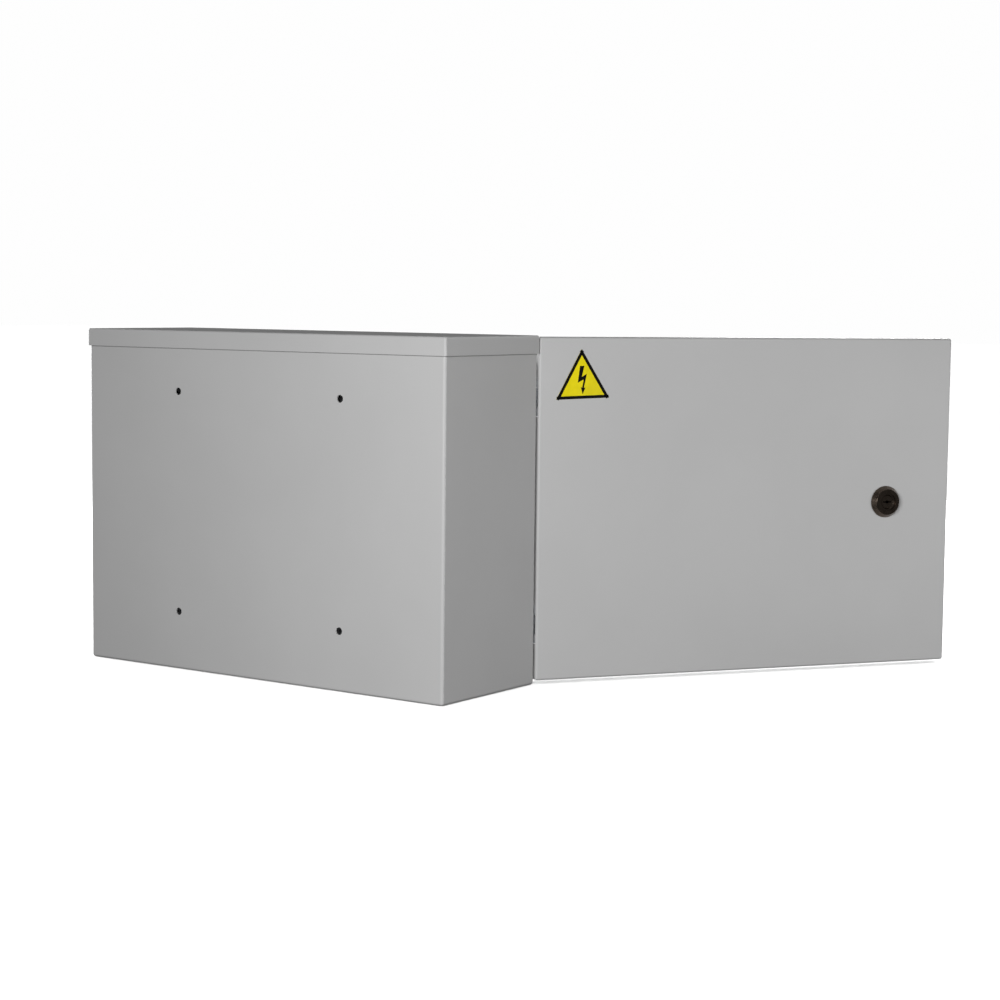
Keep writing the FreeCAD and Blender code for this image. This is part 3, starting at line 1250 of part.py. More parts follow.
def bridge_wire(i):
    """Joins the two contactors' lower terminals of one phase."""
    a = contactor_poles(MAINS_CONTACTOR_X)[i]
    b = contactor_poles(GENERATOR_CONTACTOR_X)[i] - SIDE_STEP
    edge = LOWER_RAIL_Z - CONTACTOR_H / 2
    level, d = edge - 12.0, phase_depth(i)
    return lead([at(a, POLE_WIRE_D, edge + WIRE_IN), at(a, POLE_WIRE_D, edge - 2.0), at(a, d, level),
                 at(b, d, level), at(b, POLE_WIRE_D, edge - 2.0), at(b, POLE_WIRE_D, edge + WIRE_IN)],
                PHASE_WIRE)


def load_wire(i):
    """From the generator contactor's lower terminal to its load block."""
    a = contactor_poles(GENERATOR_CONTACTOR_X)[i] + SIDE_STEP
    b = block_middle(i)
    edge, block_edge = LOWER_RAIL_Z - CONTACTOR_H / 2, LOWER_RAIL_Z - BLOCK_H / 2
    level, d = edge - 19.0, phase_depth(i)
    return lead([at(a, POLE_WIRE_D, edge + WIRE_IN), at(a, POLE_WIRE_D, edge - 2.0),
                 at(a, d, edge - 9.0), at(a, d, level), at(b, d, level),
                 at(b, BLOCK_WIRE_D, block_edge - 14.0), at(b, BLOCK_WIRE_D, block_edge + WIRE_IN)],
                PHASE_WIRE)


def phase_wires(i):
    return [supply_wire(MAINS_BREAKER_X, MAINS_CONTACTOR_X, i),
            supply_wire(GENERATOR_BREAKER_X, GENERATOR_CONTACTOR_X, i), bridge_wire(i), load_wire(i)]


def bar_wire(name, hole, block, below):
    """From a hole in the underside of a bar up to a field block."""
    x, b = bar_screw_xs(name)[hole], block_middle(block)
    level = BAR_Z - BAR_H / 2 - below
    y = BAR_Y - BAR_T / 2
    edge = LOWER_RAIL_Z - BLOCK_H / 2
    side = RAIL_FACE - BLOCK_WIRE_D
    return lead([V(x, y, BAR_Z - 1.0), V(x, y, level), V(b, side - 12.0, level),
                 V(b, side, edge - 12.0), V(b, side, edge + WIRE_IN)], THIN_WIRE)


def neutral_wires():
    """Neutral bar to its two field blocks."""
    return [bar_wire("neutral", BAR_SCREWS - 1, 5, 7.0), bar_wire("neutral", BAR_SCREWS - 2, 6, 11.0)]


def earth_wires():
    """Earth bar to its two field blocks."""
    return [bar_wire("earth", 0, BLOCKS - 1, 7.0), bar_wire("earth", 1, BLOCKS - 2, 11.0)]


def control_loop(a, b, d, drop, up_d):
    """A small loop below the upper row, between two lower terminals."""
    top = UPPER_RAIL_Z
    start, end = top - a[1], top - b[1]
    level = top - MODULE_H / 2 - drop
    return lead([at(a[0], up_d[0], start + THIN_IN), at(a[0], up_d[0], start - 3.0), at(a[0], d, level),
                 at(b[0], d, level), at(b[0], up_d[1], end - 3.0), at(b[0], up_d[1], end + THIN_IN)],
                THIN_WIRE)


def control_wires():
    """Control breaker to controller, controller to relay, relay to field blocks, and both coils."""
    step = CONTROLLER_W / 6
    ctl = [CONTROLLER_X + step * (i + 0.5) for i in range(6)]
    half, ctl_half = MODULE_H / 2, CONTROLLER_H / 2
    made = [control_loop((breaker_pole_x(CONTROL_BREAKER_X, 0), half), (ctl[0], ctl_half), 30.0, 12.0,
                         (BREAKER_WIRE_D, CONTROLLER_WIRE_D))]
    relay = [p.x for p in relay_terminal_places() if p.z < UPPER_RAIL_Z]
    depths = (CONTROLLER_WIRE_D, SOCKET_WIRE_D)
    made.append(control_loop((ctl[5], ctl_half), (relay[0], SOCKET_H / 2), 30.0, 12.0, depths))
    made.append(control_loop((ctl[4], ctl_half), (relay[2], SOCKET_H / 2), 24.0, 16.0, depths))
    for x, block, level in ((relay[3], 8, 4.0), (relay[4], 9, -2.0)):
        b, edge = block_middle(block), LOWER_RAIL_Z + BLOCK_H / 2
        start = UPPER_RAIL_Z - SOCKET_H / 2
        made.append(lead([at(x, SOCKET_WIRE_D, start + THIN_IN), at(x, SOCKET_WIRE_D, level),
                          at(b, SOCKET_WIRE_D, level), at(b, BLOCK_WIRE_D, edge + 6.0),
                          at(b, BLOCK_WIRE_D, edge - THIN_IN)], THIN_WIRE))
    coil_top = LOWER_RAIL_Z + CONTACTOR_H / 2
    targets = [(ctl[1], 9.0), (ctl[2], 16.0)]
    for (x, d), x0 in zip(targets, (MAINS_CONTACTOR_X, GENERATOR_CONTACTOR_X)):
        coil = coil_terminal_xs(x0)[1]
        level = coil_top + 8.0
        made.append(lead([at(coil, COIL_WIRE_D, coil_top - THIN_IN), at(coil, COIL_WIRE_D, coil_top + 3.0),
                          at(coil, d, level), at(x, d, level),
                          at(x, CONTROLLER_WIRE_D, UPPER_RAIL_Z - ctl_half - 3.0),
                          at(x, CONTROLLER_WIRE_D, UPPER_RAIL_Z - ctl_half + THIN_IN)], THIN_WIRE))
    return made


def ring_lug(seat, axis):
    """A ring on an earth stud, with a crimped barrel that points down."""
    ring = washer(LUG_R, STUD_R + LUG_GAP, LUG_T, seat, axis)
    middle = seat + axis * (LUG_T / 2)
    mouth = middle - Z * LUG_R
    barrel = rod(CRIMP_R, mouth + Z * 0.5, mouth - Z * CRIMP_L)
    return fuse(ring, barrel).cut(rod(DOOR_LEAD / 2, mouth, mouth - Z * (CRIMP_L + 1)))


def door_earth_lead():
    """A flexible lead that hangs in a loop from the body's stud, round the lip, to the door's stud."""
    body_seat = EARTH_STUD + X * EARTH_NUT_H
    door_seat = DOOR_STUD + Y * EARTH_NUT_H
    first = body_seat + X * (LUG_T / 2) - Z * LUG_R
    turn = FreeCAD.Rotation(Z, -DOOR_OPEN)
    last = turn.multVec(door_seat + Y * (LUG_T / 2) - HINGE) + HINGE - Z * LUG_R
    lip = V(-OPEN_X + SHEET, FRONT, first.z)
    points = [first, first - Z * 16.0, first + V(4.2, -7.5, -30.0),
              lip + V(-1.5, 10.5, -41.5), lip + V(11.5, -4.0, -48.5), lip + V(13.5, -25.0, -52.0),
              lip + V(5.0, -44.0, -53.5), last + V(27.0, -20.0, -30.0), last + V(11.5, -16.5, -28.5),
              last - Z * 17.0, last]
    return [lead(points, DOOR_LEAD), ring_lug(body_seat, X), opened(ring_lug(door_seat, Y))]


# ---------------------------------------------------------------- build

def main():
    os.makedirs("parts", exist_ok=True)

    save("body_shell", body_shell())
    save("top_cover", top_cover())
    save("cover_nuts", *cover_nuts())
    save("m6_nuts", *m6_nuts())
    save("gland_plate", gland_plate())
    save("gland_gasket", gland_gasket())
    save("cable_grommets", *gland_grommets())
    save("body_hinge_brackets", *body_hinge_brackets())
    save("mounting_plate", mounting_plate())
    save("upper_din_rail", din_rail(UPPER_RAIL_Z))
    save("lower_din_rail", din_rail(LOWER_RAIL_Z))
    save("panel_screws", *panel_screws())
    save("end_clamps", *end_clamps())

    save("mains_breaker_poles", *breaker(MAINS_BREAKER_X, UPPER_RAIL_Z, 3))
    save("generator_breaker_poles", *breaker(GENERATOR_BREAKER_X, UPPER_RAIL_Z, 3))
    save("control_breaker_pole", *breaker(CONTROL_BREAKER_X, UPPER_RAIL_Z, 1))
    save("mains_breaker_lever", breaker_lever(MAINS_BREAKER_X, UPPER_RAIL_Z, 3))
    save("generator_breaker_lever", breaker_lever(GENERATOR_BREAKER_X, UPPER_RAIL_Z, 3))
    save("control_breaker_lever", breaker_lever(CONTROL_BREAKER_X, UPPER_RAIL_Z, 1))
    save("terminal_screws", *terminal_screws())

    save("controller_case", controller_case())
    save("controller_face", controller_face())
    save("controller_lamps", *controller_lamps())
    for name in KNOBS:
        save(name, knob(name))
    save("test_button", test_button())
    save("relay_sockets", *relay_sockets())
    save("relay_cores", *relay_cores())
    save("relay_covers", *relay_covers())

    for side, x0 in (("mains", MAINS_CONTACTOR_X), ("generator", GENERATOR_CONTACTOR_X)):
        save(side + "_contactor_base", contactor_base(x0))
        save(side + "_contactor_housing", contactor_housing(x0))
        save(side + "_contactor_carrier", contactor_carrier(x0))
    save("contactor_terminals", *contactor_terminals())
    save("interlock_module", interlock_module())

    save("terminal_blocks", *terminal_blocks())
    save("neutral_bar", terminal_bar("neutral"))
    save("earth_bar", terminal_bar("earth"))
    save("bar_insulators", *bar_insulators())
    save("bar_screws", *bar_screws())
    for i, colour in enumerate(("brown", "black", "grey")):
        save(colour + "_phase_wires", *phase_wires(i))
    save("neutral_wires", *neutral_wires())
    save("earth_wires", *earth_wires())
    save("control_wires", *control_wires())
    save("door_earth_lead", *door_earth_lead())

    save("door_panel", opened(door_panel()))
    save("door_seal", opened(door_seal()))
    save("door_hinge_brackets", *[opened(s) for s in door_hinge_brackets()])
    save("hinge_pins", *[opened(s) for s in hinge_pins()])
    save("door_earth_nuts", *[opened(s) for s in earth_nuts(DOOR_STUD, Y)])
    save("warning_label", opened(warning_label()))
    save("lock_housing", opened(lock_housing()))
    save("lock_nut", *[opened(s) for s in lock_nut()])
    save("lock_plug", opened(lock_plug()))
    save("lock_cam", opened(lock_cam()))
    save("cam_screw", opened(cam_screw()))


main()
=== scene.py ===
"""Looks of the automatic transfer switch: finishes, seals, marks, small fittings, light and camera."""

import json
import math
from math import radians

import bmesh
import bpy
from mathutils import Euler, Matrix, Vector


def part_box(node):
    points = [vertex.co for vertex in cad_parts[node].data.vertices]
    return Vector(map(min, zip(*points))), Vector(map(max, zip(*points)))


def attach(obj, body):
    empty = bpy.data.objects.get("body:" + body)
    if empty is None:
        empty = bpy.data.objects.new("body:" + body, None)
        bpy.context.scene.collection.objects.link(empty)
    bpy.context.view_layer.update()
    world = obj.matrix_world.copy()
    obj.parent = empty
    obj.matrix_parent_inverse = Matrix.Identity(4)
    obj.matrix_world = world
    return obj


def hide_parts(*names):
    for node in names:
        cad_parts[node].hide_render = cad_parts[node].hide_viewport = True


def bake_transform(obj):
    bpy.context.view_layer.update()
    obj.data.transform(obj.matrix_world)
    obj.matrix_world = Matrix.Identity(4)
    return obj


bl_info = {
    "name": "Transfer Switch Cabinet",
    "version": (1, 0, 0),
    "blender": (4, 5, 0),
    "location": "View3D > Sidebar > Transfer Switch",
    "description": "Finishes and small fittings for a transfer switch cabinet",
    "category": "Object",
}

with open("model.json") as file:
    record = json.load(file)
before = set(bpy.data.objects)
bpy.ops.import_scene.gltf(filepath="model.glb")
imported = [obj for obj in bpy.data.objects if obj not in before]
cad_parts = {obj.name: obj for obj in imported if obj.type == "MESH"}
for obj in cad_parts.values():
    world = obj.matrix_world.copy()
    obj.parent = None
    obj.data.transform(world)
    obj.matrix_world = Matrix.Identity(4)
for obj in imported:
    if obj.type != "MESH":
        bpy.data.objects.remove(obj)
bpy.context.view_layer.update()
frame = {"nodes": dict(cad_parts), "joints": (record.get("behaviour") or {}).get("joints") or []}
NODES = frame["nodes"]
UP = Vector((0, 0, 1))
MM = 0.001
FACING_FRONT = (radians(90), 0.0, 0.0)


def door_turn():
    """The turn that carries a piece of the shut door to where the door stands open."""
    hinge = next(j for j in frame["joints"] if j["name"] == "door_hinge")
    pin = Vector(hinge["pos_m"])
    angle = -radians(hinge["range_deg"][0])
    swing = Matrix.Rotation(angle, 4, Vector(hinge["axis"]))
    return Matrix.Translation(pin) @ swing @ Matrix.Translation(-pin)


def shut_box(name, place):
    """Lowest and highest corner of a door node before it was put in its place."""
    back = place.inverted()
    points = [back @ v.co for v in NODES[name].data.vertices]
    low = Vector([min(p[i] for p in points) for i in range(3)])
    high = Vector([max(p[i] for p in points) for i in range(3)])
    return low, high


def node_box(name):
    """Lowest and highest corner of a CAD node."""
    low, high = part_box(name)
    return Vector(low), Vector(high)


# ---------------------------------------------------------------- settings

def length_of(label, about, default):
    return bpy.props.FloatProperty(name=label, description=about, default=default, min=0.0,
                                   subtype="DISTANCE", unit="LENGTH", precision=5)


def colour_of(label, about, default):
    return bpy.props.FloatVectorProperty(name=label, description=about, default=default, size=3,
                                         min=0.0, max=1.0, subtype="COLOR")


def share_of(label, about, default):
    return bpy.props.FloatProperty(name=label, description=about, default=default, min=0.0, max=1.0,
                                   subtype="FACTOR")


def power_of(label, about, default):
    return bpy.props.FloatProperty(name=label, description=about, default=default, unit="POWER")


class SwitchFinishes(bpy.types.PropertyGroup):
    """Colours of the cabinet's finishes."""

    paint: colour_of("Powder Coat", "Light grey coat of the body, cover and door", (0.563, 0.563, 0.563))
    paint_gloss: share_of("Coat Roughness", "Roughness of the powder coat", 0.40)
    zinc: colour_of("Zinc", "Zinc-plated screws, nuts and brackets", (0.62, 0.64, 0.66))
    sheet_zinc: colour_of("Galvanised Sheet", "Mounting plate and rails", (0.56, 0.58, 0.60))
    brass: colour_of("Brass", "Neutral and earth bars", (0.72, 0.50, 0.20))
    lock_metal: colour_of("Lock Metal", "Dark plated lock", (0.190, 0.150, 0.120))
    housing: colour_of("Pale Housing", "Breakers and controller", (0.74, 0.74, 0.71))
    housing_grey: colour_of("Grey Housing", "Contactors, terminal blocks and clamps", (0.33, 0.34, 0.35))
    housing_black: colour_of("Black Housing", "Levers, sockets, contactor bases", (0.022, 0.022, 0.024))
    blue: colour_of("Blue", "Neutral terminals, carriers and neutral wire", (0.03, 0.15, 0.48))
    green: colour_of("Green", "Earth terminals and earth wire", (0.03, 0.26, 0.05))
    yellow: colour_of("Yellow", "Warning sign and earth stripe", (0.90, 0.76, 0.010))
    red: colour_of("Red", "Control wires and fault lamp", (0.46, 0.02, 0.015))
    orange: colour_of("Orange", "Setting knobs and rail feet", (0.72, 0.20, 0.02))
    foam: colour_of("Foam", "Door seal and gland gasket", (0.028, 0.028, 0.030))
    grommet: colour_of("Grommet Rubber", "Membrane grommets", (0.20, 0.21, 0.22))
    front_plate: colour_of("Front Plate", "Front plate of the controller", (0.060, 0.068, 0.080))
    lamp_green: colour_of("Green Lamp", "Supply lamps", (0.03, 0.42, 0.06))
    lamp_amber: colour_of("Amber Lamp", "Waiting lamp", (0.80, 0.38, 0.02))
    relay_base: colour_of("Relay Base", "Plastic of the relay cores", (0.10, 0.10, 0.11))
    copper: colour_of("Copper", "Relay windings", (0.55, 0.17, 0.05))
    wire_brown: colour_of("Brown Wire", "First phase", (0.11, 0.040, 0.018))
    wire_black: colour_of("Black Wire", "Second phase", (0.014, 0.014, 0.015))
    wire_grey: colour_of("Grey Wire", "Third phase", (0.21, 0.22, 0.23))
    sign_black: colour_of("Sign Black", "Border and mark of the warning sign", (0.006, 0.006, 0.006))
    print_black: colour_of("Black Print", "Marks on the breakers", (0.02, 0.02, 0.022))
    print_white: colour_of("White Print", "Scales on the controller", (0.72, 0.73, 0.72))
    tag_white: colour_of("White Tags", "Tags on terminal blocks and contactors", (0.80, 0.80, 0.78))


class SwitchSizes(bpy.types.PropertyGroup):
    """Sizes of the pieces that are modelled here."""

    seal_crown: length_of("Seal Crown", "Rounding of the door seal's face", 0.0016)
    seal_width: length_of("Seal Width", "Width of the door seal's bead", 0.010)
    seal_corner: length_of("Seal Corner", "Outer corner radius of the door seal", 0.010)
    sign_turn: bpy.props.FloatProperty(name="Sign Turn", description="How far the sign is off level",
                                       default=radians(2.0), subtype="ANGLE", unit="ROTATION")
    sign_corner: length_of("Sign Corner", "Cut-back of the warning sign's corners", 0.0005)
    sign_border: length_of("Sign Border", "Black border of the warning sign", 0.0026)
    sign_print: length_of("Sign Print", "How far the print stands on the sign", 0.00006)
    grommet_lap: length_of("Grommet Lap", "Grommet lip past its hole", 0.0022)
    lead_diameter: length_of("Earth Lead Diameter", "Door earth lead over its insulation", 0.0044)
    lead_length: length_of("Earth Lead Length", "Door earth lead between its lugs", 0.1864)
    foot_width: length_of("Rail Foot Width", "Breaker's sliding rail foot", 0.0082)
    tag_width: length_of("Tag Width", "White marker on a terminal block", 0.0058)
    print_height: length_of("Print Height", "How far printed marks stand on a housing", 0.00012)


class SwitchStage(bpy.types.PropertyGroup):
    """Light and camera."""

    lens: bpy.props.FloatProperty(name="Lens", description="Focal length on a 36 mm sensor", default=78.3,
                                  min=10.0, subtype="DISTANCE_CAMERA")
    key_power: power_of("Key Light", "Soft light behind the cabinet", 12.0)
    key_shine: share_of("Key Shine", "Share of the key light that shows in shiny surfaces", 0.35)
    side_power: power_of("Side Light", "Weak light beside the open door", 1.45)
    fill_power: power_of("Front Fill", "Soft light in front of the door opening", 30.0)
    right_power: power_of("Right Light", "Soft light on the lock's side", 14.0)
    top_power: power_of("Top Light", "Weak light over the cabinet", 0.6)
    floor_strength: bpy.props.FloatProperty(name="Floor Light", description="Even light on the floor alone",
                                            default=3.6, min=0.0)


class TransferSwitchSettings(bpy.types.PropertyGroup):
    """All settings of the cabinet."""

    finishes: bpy.props.PointerProperty(type=SwitchFinishes, name="Finishes", description="Colours")
    sizes: bpy.props.PointerProperty(type=SwitchSizes, name="Sizes", description="Sizes of small pieces")
    stage: bpy.props.PointerProperty(type=SwitchStage, name="Stage", description="Light and camera")


# ---------------------------------------------------------------- modelling helpers

def only(obj):
    """Makes obj the one selected and active object."""
    bpy.ops.object.select_all(action="DESELECT")
    obj.select_set(True)
    bpy.context.view_layer.objects.active = obj


def start_from(primitive, **size):
    """Adds a primitive with nothing else selected and opens it for editing."""
    bpy.ops.object.select_all(action="DESELECT")
    primitive(**size)
    bpy.ops.object.mode_set(mode="EDIT")
    return bpy.context.object


def pick_faces(obj, test):
    """In edit mode, selects the faces that the test accepts, and nothing else."""
    mesh = bmesh.from_edit_mesh(obj.data)
    bpy.ops.mesh.select_all(action="DESELECT")
    bpy.ops.mesh.select_mode(type="FACE")
    for face in mesh.faces:
        face.select_set(test(face))
    mesh.select_flush_mode()
    bmesh.update_edit_mesh(obj.data)


def put_down(obj):
    """Leaves edit mode, applies the place and makes the faces point outwards."""
    bpy.ops.mesh.select_all(action="SELECT")
    bpy.ops.mesh.normals_make_consistent(inside=False)
    bpy.ops.object.mode_set(mode="OBJECT")
    only(obj)
    bpy.ops.object.transform_apply(location=True, rotation=True, scale=True)
    return obj


def soften(obj, width, segments=3, angle=30.0):
    """Bevels the sharp edges with a modifier and applies it."""
    only(obj)
    bevel = obj.modifiers.new("Softened Edges", "BEVEL")
    bevel.width = width
    bevel.segments = segments
    bevel.limit_method = "ANGLE"
    bevel.angle_limit = radians(angle)
    bpy.ops.object.modifier_apply(modifier=bevel.name)
    return obj


def block(low, high, bevel=0.0):
    """A block between two corners, with softened edges if it has a bevel."""
    low, high = Vector(low), Vector(high)
    obj = start_from(bpy.ops.mesh.primitive_cube_add, size=1.0, location=(low + high) / 2)
    bpy.ops.transform.resize(value=high - low, center_override=(low + high) / 2)
    put_down(obj)
    return soften(obj, bevel, 2) if bevel else obj


def draw_out(step):
    """In edit mode, extrudes what is selected by a step."""
    bpy.ops.mesh.extrude_region_move(TRANSFORM_OT_translate={"value": step})


def keep_rim(width, step):
    """In edit mode, leaves only the rim of the selected flat face and gives it thickness."""
    bpy.ops.mesh.inset(thickness=width, use_even_offset=True)
    bpy.ops.mesh.delete(type="FACE")
    bpy.ops.mesh.select_all(action="SELECT")
    draw_out(step)


def turned(foot, rings, sides=48):
    """A round piece drawn up ring by ring from a circle. Each ring is (radius, height above foot)."""
    foot = Vector(foot)
    radius, height = rings[0]
    obj = start_from(bpy.ops.mesh.primitive_circle_add, vertices=sides, radius=radius, fill_type="NGON",
                     location=foot + UP * height)
    for next_radius, next_height in rings[1:]:
        draw_out(UP * (next_height - height))
        grow = next_radius / radius
        bpy.ops.transform.resize(value=(grow, grow, 1.0), center_override=foot + UP * next_height)
        radius, height = next_radius, next_height
    return put_down(obj)


def on_front(x, z, front, mark, out, sunk=0.0, bevel=0.0):
    """A block on a front face. mark is its width, its height and how far its middle stands over z."""
    width, height, over = mark
    low = (x - width / 2, front - out, z + over - height / 2)
    high = (x + width / 2, front + sunk, z + over + height / 2)
    return block(low, high, bevel)


def printed_ring(centre, radius, width, rise):
    """A thin ring printed on a front face."""
    obj = start_from(bpy.ops.mesh.primitive_circle_add, vertices=28, radius=radius, fill_type="NGON",
                     location=centre, rotation=FACING_FRONT)
    keep_rim(width, (0.0, -rise, 0.0))
    return put_down(obj)


def lay(obj, matrix):
    """Moves a finished piece by a matrix and applies it."""
    only(obj)
    obj.matrix_world = matrix @ obj.matrix_world
    bpy.ops.object.transform_apply(location=True, rotation=True, scale=True)
    return obj


def joined(pieces):
    """Joins like pieces into one object."""
    bpy.ops.object.select_all(action="DESELECT")
    for piece in pieces:
        piece.select_set(True)
    bpy.context.view_layer.objects.active = pieces[0]
    bpy.ops.object.join()
    return bpy.context.object


def finish_piece(obj, name, body, material, smooth=40.0):
    """Names a piece, smooths it, gives it its material, and sets what it rides on."""
    obj.name = name
    obj.data.name = name
    only(obj)
    bpy.ops.object.shade_smooth_by_angle(angle=radians(smooth))
    obj.data.materials.clear()
    obj.data.materials.append(material)
    if body:
        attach(obj, body)
    return obj


# ---------------------------------------------------------------- material helpers

def new_material(name):
    material = bpy.data.materials.new(name)
    material.use_nodes = True
    return material, material.node_tree, material.node_tree.nodes["Principled BSDF"]


def feed(tree, socket, value):
    """Feeds a socket from another socket, or sets its own value."""
    if isinstance(value, bpy.types.NodeSocket):
        tree.links.new(value, socket)
    else:
        socket.default_value = value


def dress(tree, shader, colour, roughness, normal=None):
    """Feeds a shader its colour and roughness, and its relief if it has one."""
    feed(tree, shader.inputs["Base Color"], colour)
    feed(tree, shader.inputs["Roughness"], roughness)
    if normal:
        feed(tree, shader.inputs["Normal"], normal)


def coordinates(tree, stretch=(1.0, 1.0, 1.0), output="Object"):
    source = tree.nodes.new("ShaderNodeTexCoord")
    mapping = tree.nodes.new("ShaderNodeMapping")
    mapping.inputs["Scale"].default_value = stretch
    tree.links.new(source.outputs[output], mapping.inputs["Vector"])
    return mapping.outputs["Vector"]


def noise(tree, scale, detail=4.0, roughness=0.55, stretch=(1.0, 1.0, 1.0)):
    """Noise with features of about 1/scale metres."""
    texture = tree.nodes.new("ShaderNodeTexNoise")
    texture.inputs["Scale"].default_value = scale
    texture.inputs["Detail"].default_value = detail
    texture.inputs["Roughness"].default_value = roughness
    tree.links.new(coordinates(tree, stretch), texture.inputs["Vector"])
    return texture.outputs["Fac"]


def cells(tree, scale):
    """Cells about 1/scale metres wide."""
    texture = tree.nodes.new("ShaderNodeTexVoronoi")
    texture.inputs["Scale"].default_value = scale
    tree.links.new(coordinates(tree), texture.inputs["Vector"])
    return texture.outputs


def shades(tree, factor, dark, light, low=0.35, high=0.65):
    """Two colours spread over a factor."""
    ramp = tree.nodes.new("ShaderNodeValToRGB")
    ramp.color_ramp.elements[0].position = low
    ramp.color_ramp.elements[0].color = (*dark, 1.0)
    ramp.color_ramp.elements[1].position = high
    ramp.color_ramp.elements[1].color = (*light, 1.0)
    tree.links.new(factor, ramp.inputs["Fac"])
    return ramp.outputs["Color"]


def spread(tree, factor, low, high, start=0.3, stop=0.7):
    """A factor spread between two numbers."""
    reach = tree.nodes.new("ShaderNodeMapRange")
    reach.inputs["From Min"].default_value = start
    reach.inputs["From Max"].default_value = stop
    reach.inputs["To Min"].default_value = low
    reach.inputs["To Max"].default_value = high
    tree.links.new(factor, reach.inputs["Value"])
    return reach.outputs["Result"]


def relief(tree, height, strength, distance, under=None):
    """A bump, on top of another one if given."""
    bump = tree.nodes.new("ShaderNodeBump")
    bump.inputs["Strength"].default_value = strength
    bump.inputs["Distance"].default_value = distance
    tree.links.new(height, bump.inputs["Height"])
    if under:
        tree.links.new(under, bump.inputs["Normal"])
    return bump.outputs["Normal"]


def calculate(tree, operation, *values):
    """One step of arithmetic on sockets and numbers."""
    step = tree.nodes.new("ShaderNodeMath")
    step.operation = operation
    for socket, value in zip(step.inputs, values):
        feed(tree, socket, value)
    return step.outputs["Value"]


def choose(tree, factor, first, second):
    """First colour at factor 0, second at factor 1."""
    mix = tree.nodes.new("ShaderNodeMix")
    mix.data_type = "RGBA"
    tree.links.new(factor, mix.inputs["Factor"])
    for socket, colour in ((mix.inputs[6], first), (mix.inputs[7], second)):
        feed(tree, socket, colour if isinstance(colour, bpy.types.NodeSocket) else (*colour, 1.0))
    return mix.outputs[2]


def along(tree, axis, output="Object"):
    """How far along an axis each point of a piece lies."""
    split = tree.nodes.new("ShaderNodeSeparateXYZ")
    tree.links.new(coordinates(tree, output=output), split.inputs["Vector"])
    return split.outputs[axis]


def past(tree, axis, place):
    """1 where the piece lies beyond a place along an axis, 0 before it."""
    return calculate(tree, "GREATER_THAN", along(tree, axis), place)


def in_bands(axis, bands):
    """Colours a piece in bands along an axis. Each band is (where it starts, colour)."""
    def colour_in(tree, shade):
        for place, colour in bands:
            shade = choose(tree, past(tree, axis, place), shade, colour)
        return shade

    return colour_in


def tint(colour, share):
    """A colour made lighter or darker by a share."""
    return tuple(min(1.0, c * share) for c in colour)


# ---------------------------------------------------------------- finishes

# Painted shadow below the cover's skirt: its height, how far from the back it starts, and its shade.
SKIRT_SHADOW_HEIGHT = 0.0008
SKIRT_SHADOW_BACK = 0.006
SKIRT_SHADOW_SHADE = 0.55
# The earth wire is yellow where a sine round it is over this.
STRIPE_EDGE = 0.25
# How far the relay's winding ends in front of its base.
WINDING_FRONT = 0.0065


def powder_coat(name, colour, roughness, colour_in=None):
    """Light grey coat with a fine orange peel and faint clouding. colour_in makes other colours."""
    material, tree, shader = new_material(name)
    shade = shades(tree, noise(tree, 9.0, 3.0), tint(colour, 0.985), tint(colour, 1.015))
    if colour_in:
        shade = colour_in(tree, shade)
    fine = noise(tree, 900.0, 2.0)
    peel = relief(tree, noise(tree, 420.0, 2.0, 0.45), 0.10, 0.0004)
    dress(tree, shader, shade, spread(tree, fine, roughness - 0.03, roughness + 0.04),
          relief(tree, fine, 0.05, 0.0002, peel))
    return material


def painted_shadow_coat(colour, roughness):
    """The same coat with a dark band of painted shadow just below the cover's skirt."""
    shadow_low = node_box("top_cover")[0].z - SKIRT_SHADOW_HEIGHT
    behind = node_box("body_shell")[0].y + SKIRT_SHADOW_BACK

    def colour_in(tree, shade):
        # Painted shadow: the coat is darkened in a band below the skirt's edge.
        in_painted_shadow = calculate(tree, "MULTIPLY", past(tree, "Z", shadow_low), past(tree, "Y", behind))
        return choose(tree, in_painted_shadow, shade, tint(colour, SKIRT_SHADOW_SHADE))

    return powder_coat("powder_coat_body_painted_shadow", colour, roughness, colour_in)


def plated(name, colour, roughness, cloud_scale=60.0, brush=(1.0, 1.0, 1.0), darkest=0.86):
    """Plated metal with cloudy shine and fine scratches."""
    material, tree, shader = new_material(name)
    cloud = noise(tree, cloud_scale, 5.0)
    lines = noise(tree, 700.0, 3.0, 0.6, brush)
    dress(tree, shader, shades(tree, cloud, tint(colour, darkest), tint(colour, 1.06)),
          spread(tree, lines, roughness - 0.06, roughness + 0.10), relief(tree, lines, 0.12, 0.0001))
    shader.inputs["Metallic"].default_value = 1.0
    return material


def galvanised(colour):
    """Zinc sheet with a soft spangle."""
    material, tree, shader = new_material("galvanised_sheet")
    grey = tree.nodes.new("ShaderNodeRGBToBW")
    tree.links.new(cells(tree, 300.0)["Color"], grey.inputs["Color"])
    tone = grey.outputs["Val"]
    dress(tree, shader, shades(tree, tone, tint(colour, 0.94), tint(colour, 1.04), 0.2, 0.8),
          spread(tree, tone, 0.40, 0.47, 0.2, 0.8), relief(tree, noise(tree, 500.0, 4.0), 0.10, 0.0002))
    shader.inputs["Metallic"].default_value = 1.0
    return material


def moulded(name, colour, roughness=0.46, grain_scale=1500.0, colour_in=None, shine=0.5):
    """Moulded plastic with a spark-eroded grain and slight flow marks. colour_in makes other colours."""
    material, tree, shader = new_material(name)
    shade = shades(tree, noise(tree, 70.0, 3.0), tint(colour, 0.93), tint(colour, 1.05))
    if colour_in:
        shade = colour_in(tree, shade)
    grain = noise(tree, grain_scale, 2.0)
    dress(tree, shader, shade, spread(tree, grain, roughness - 0.05, roughness + 0.07),
          relief(tree, grain, 0.22, 0.00012))
    shader.inputs["Specular IOR Level"].default_value = shine
    return material


def printed(name, colour, roughness=0.40, shine=0.5):
    """Smooth print or foil."""
    return moulded(name, colour, roughness, 1800.0, shine=shine)


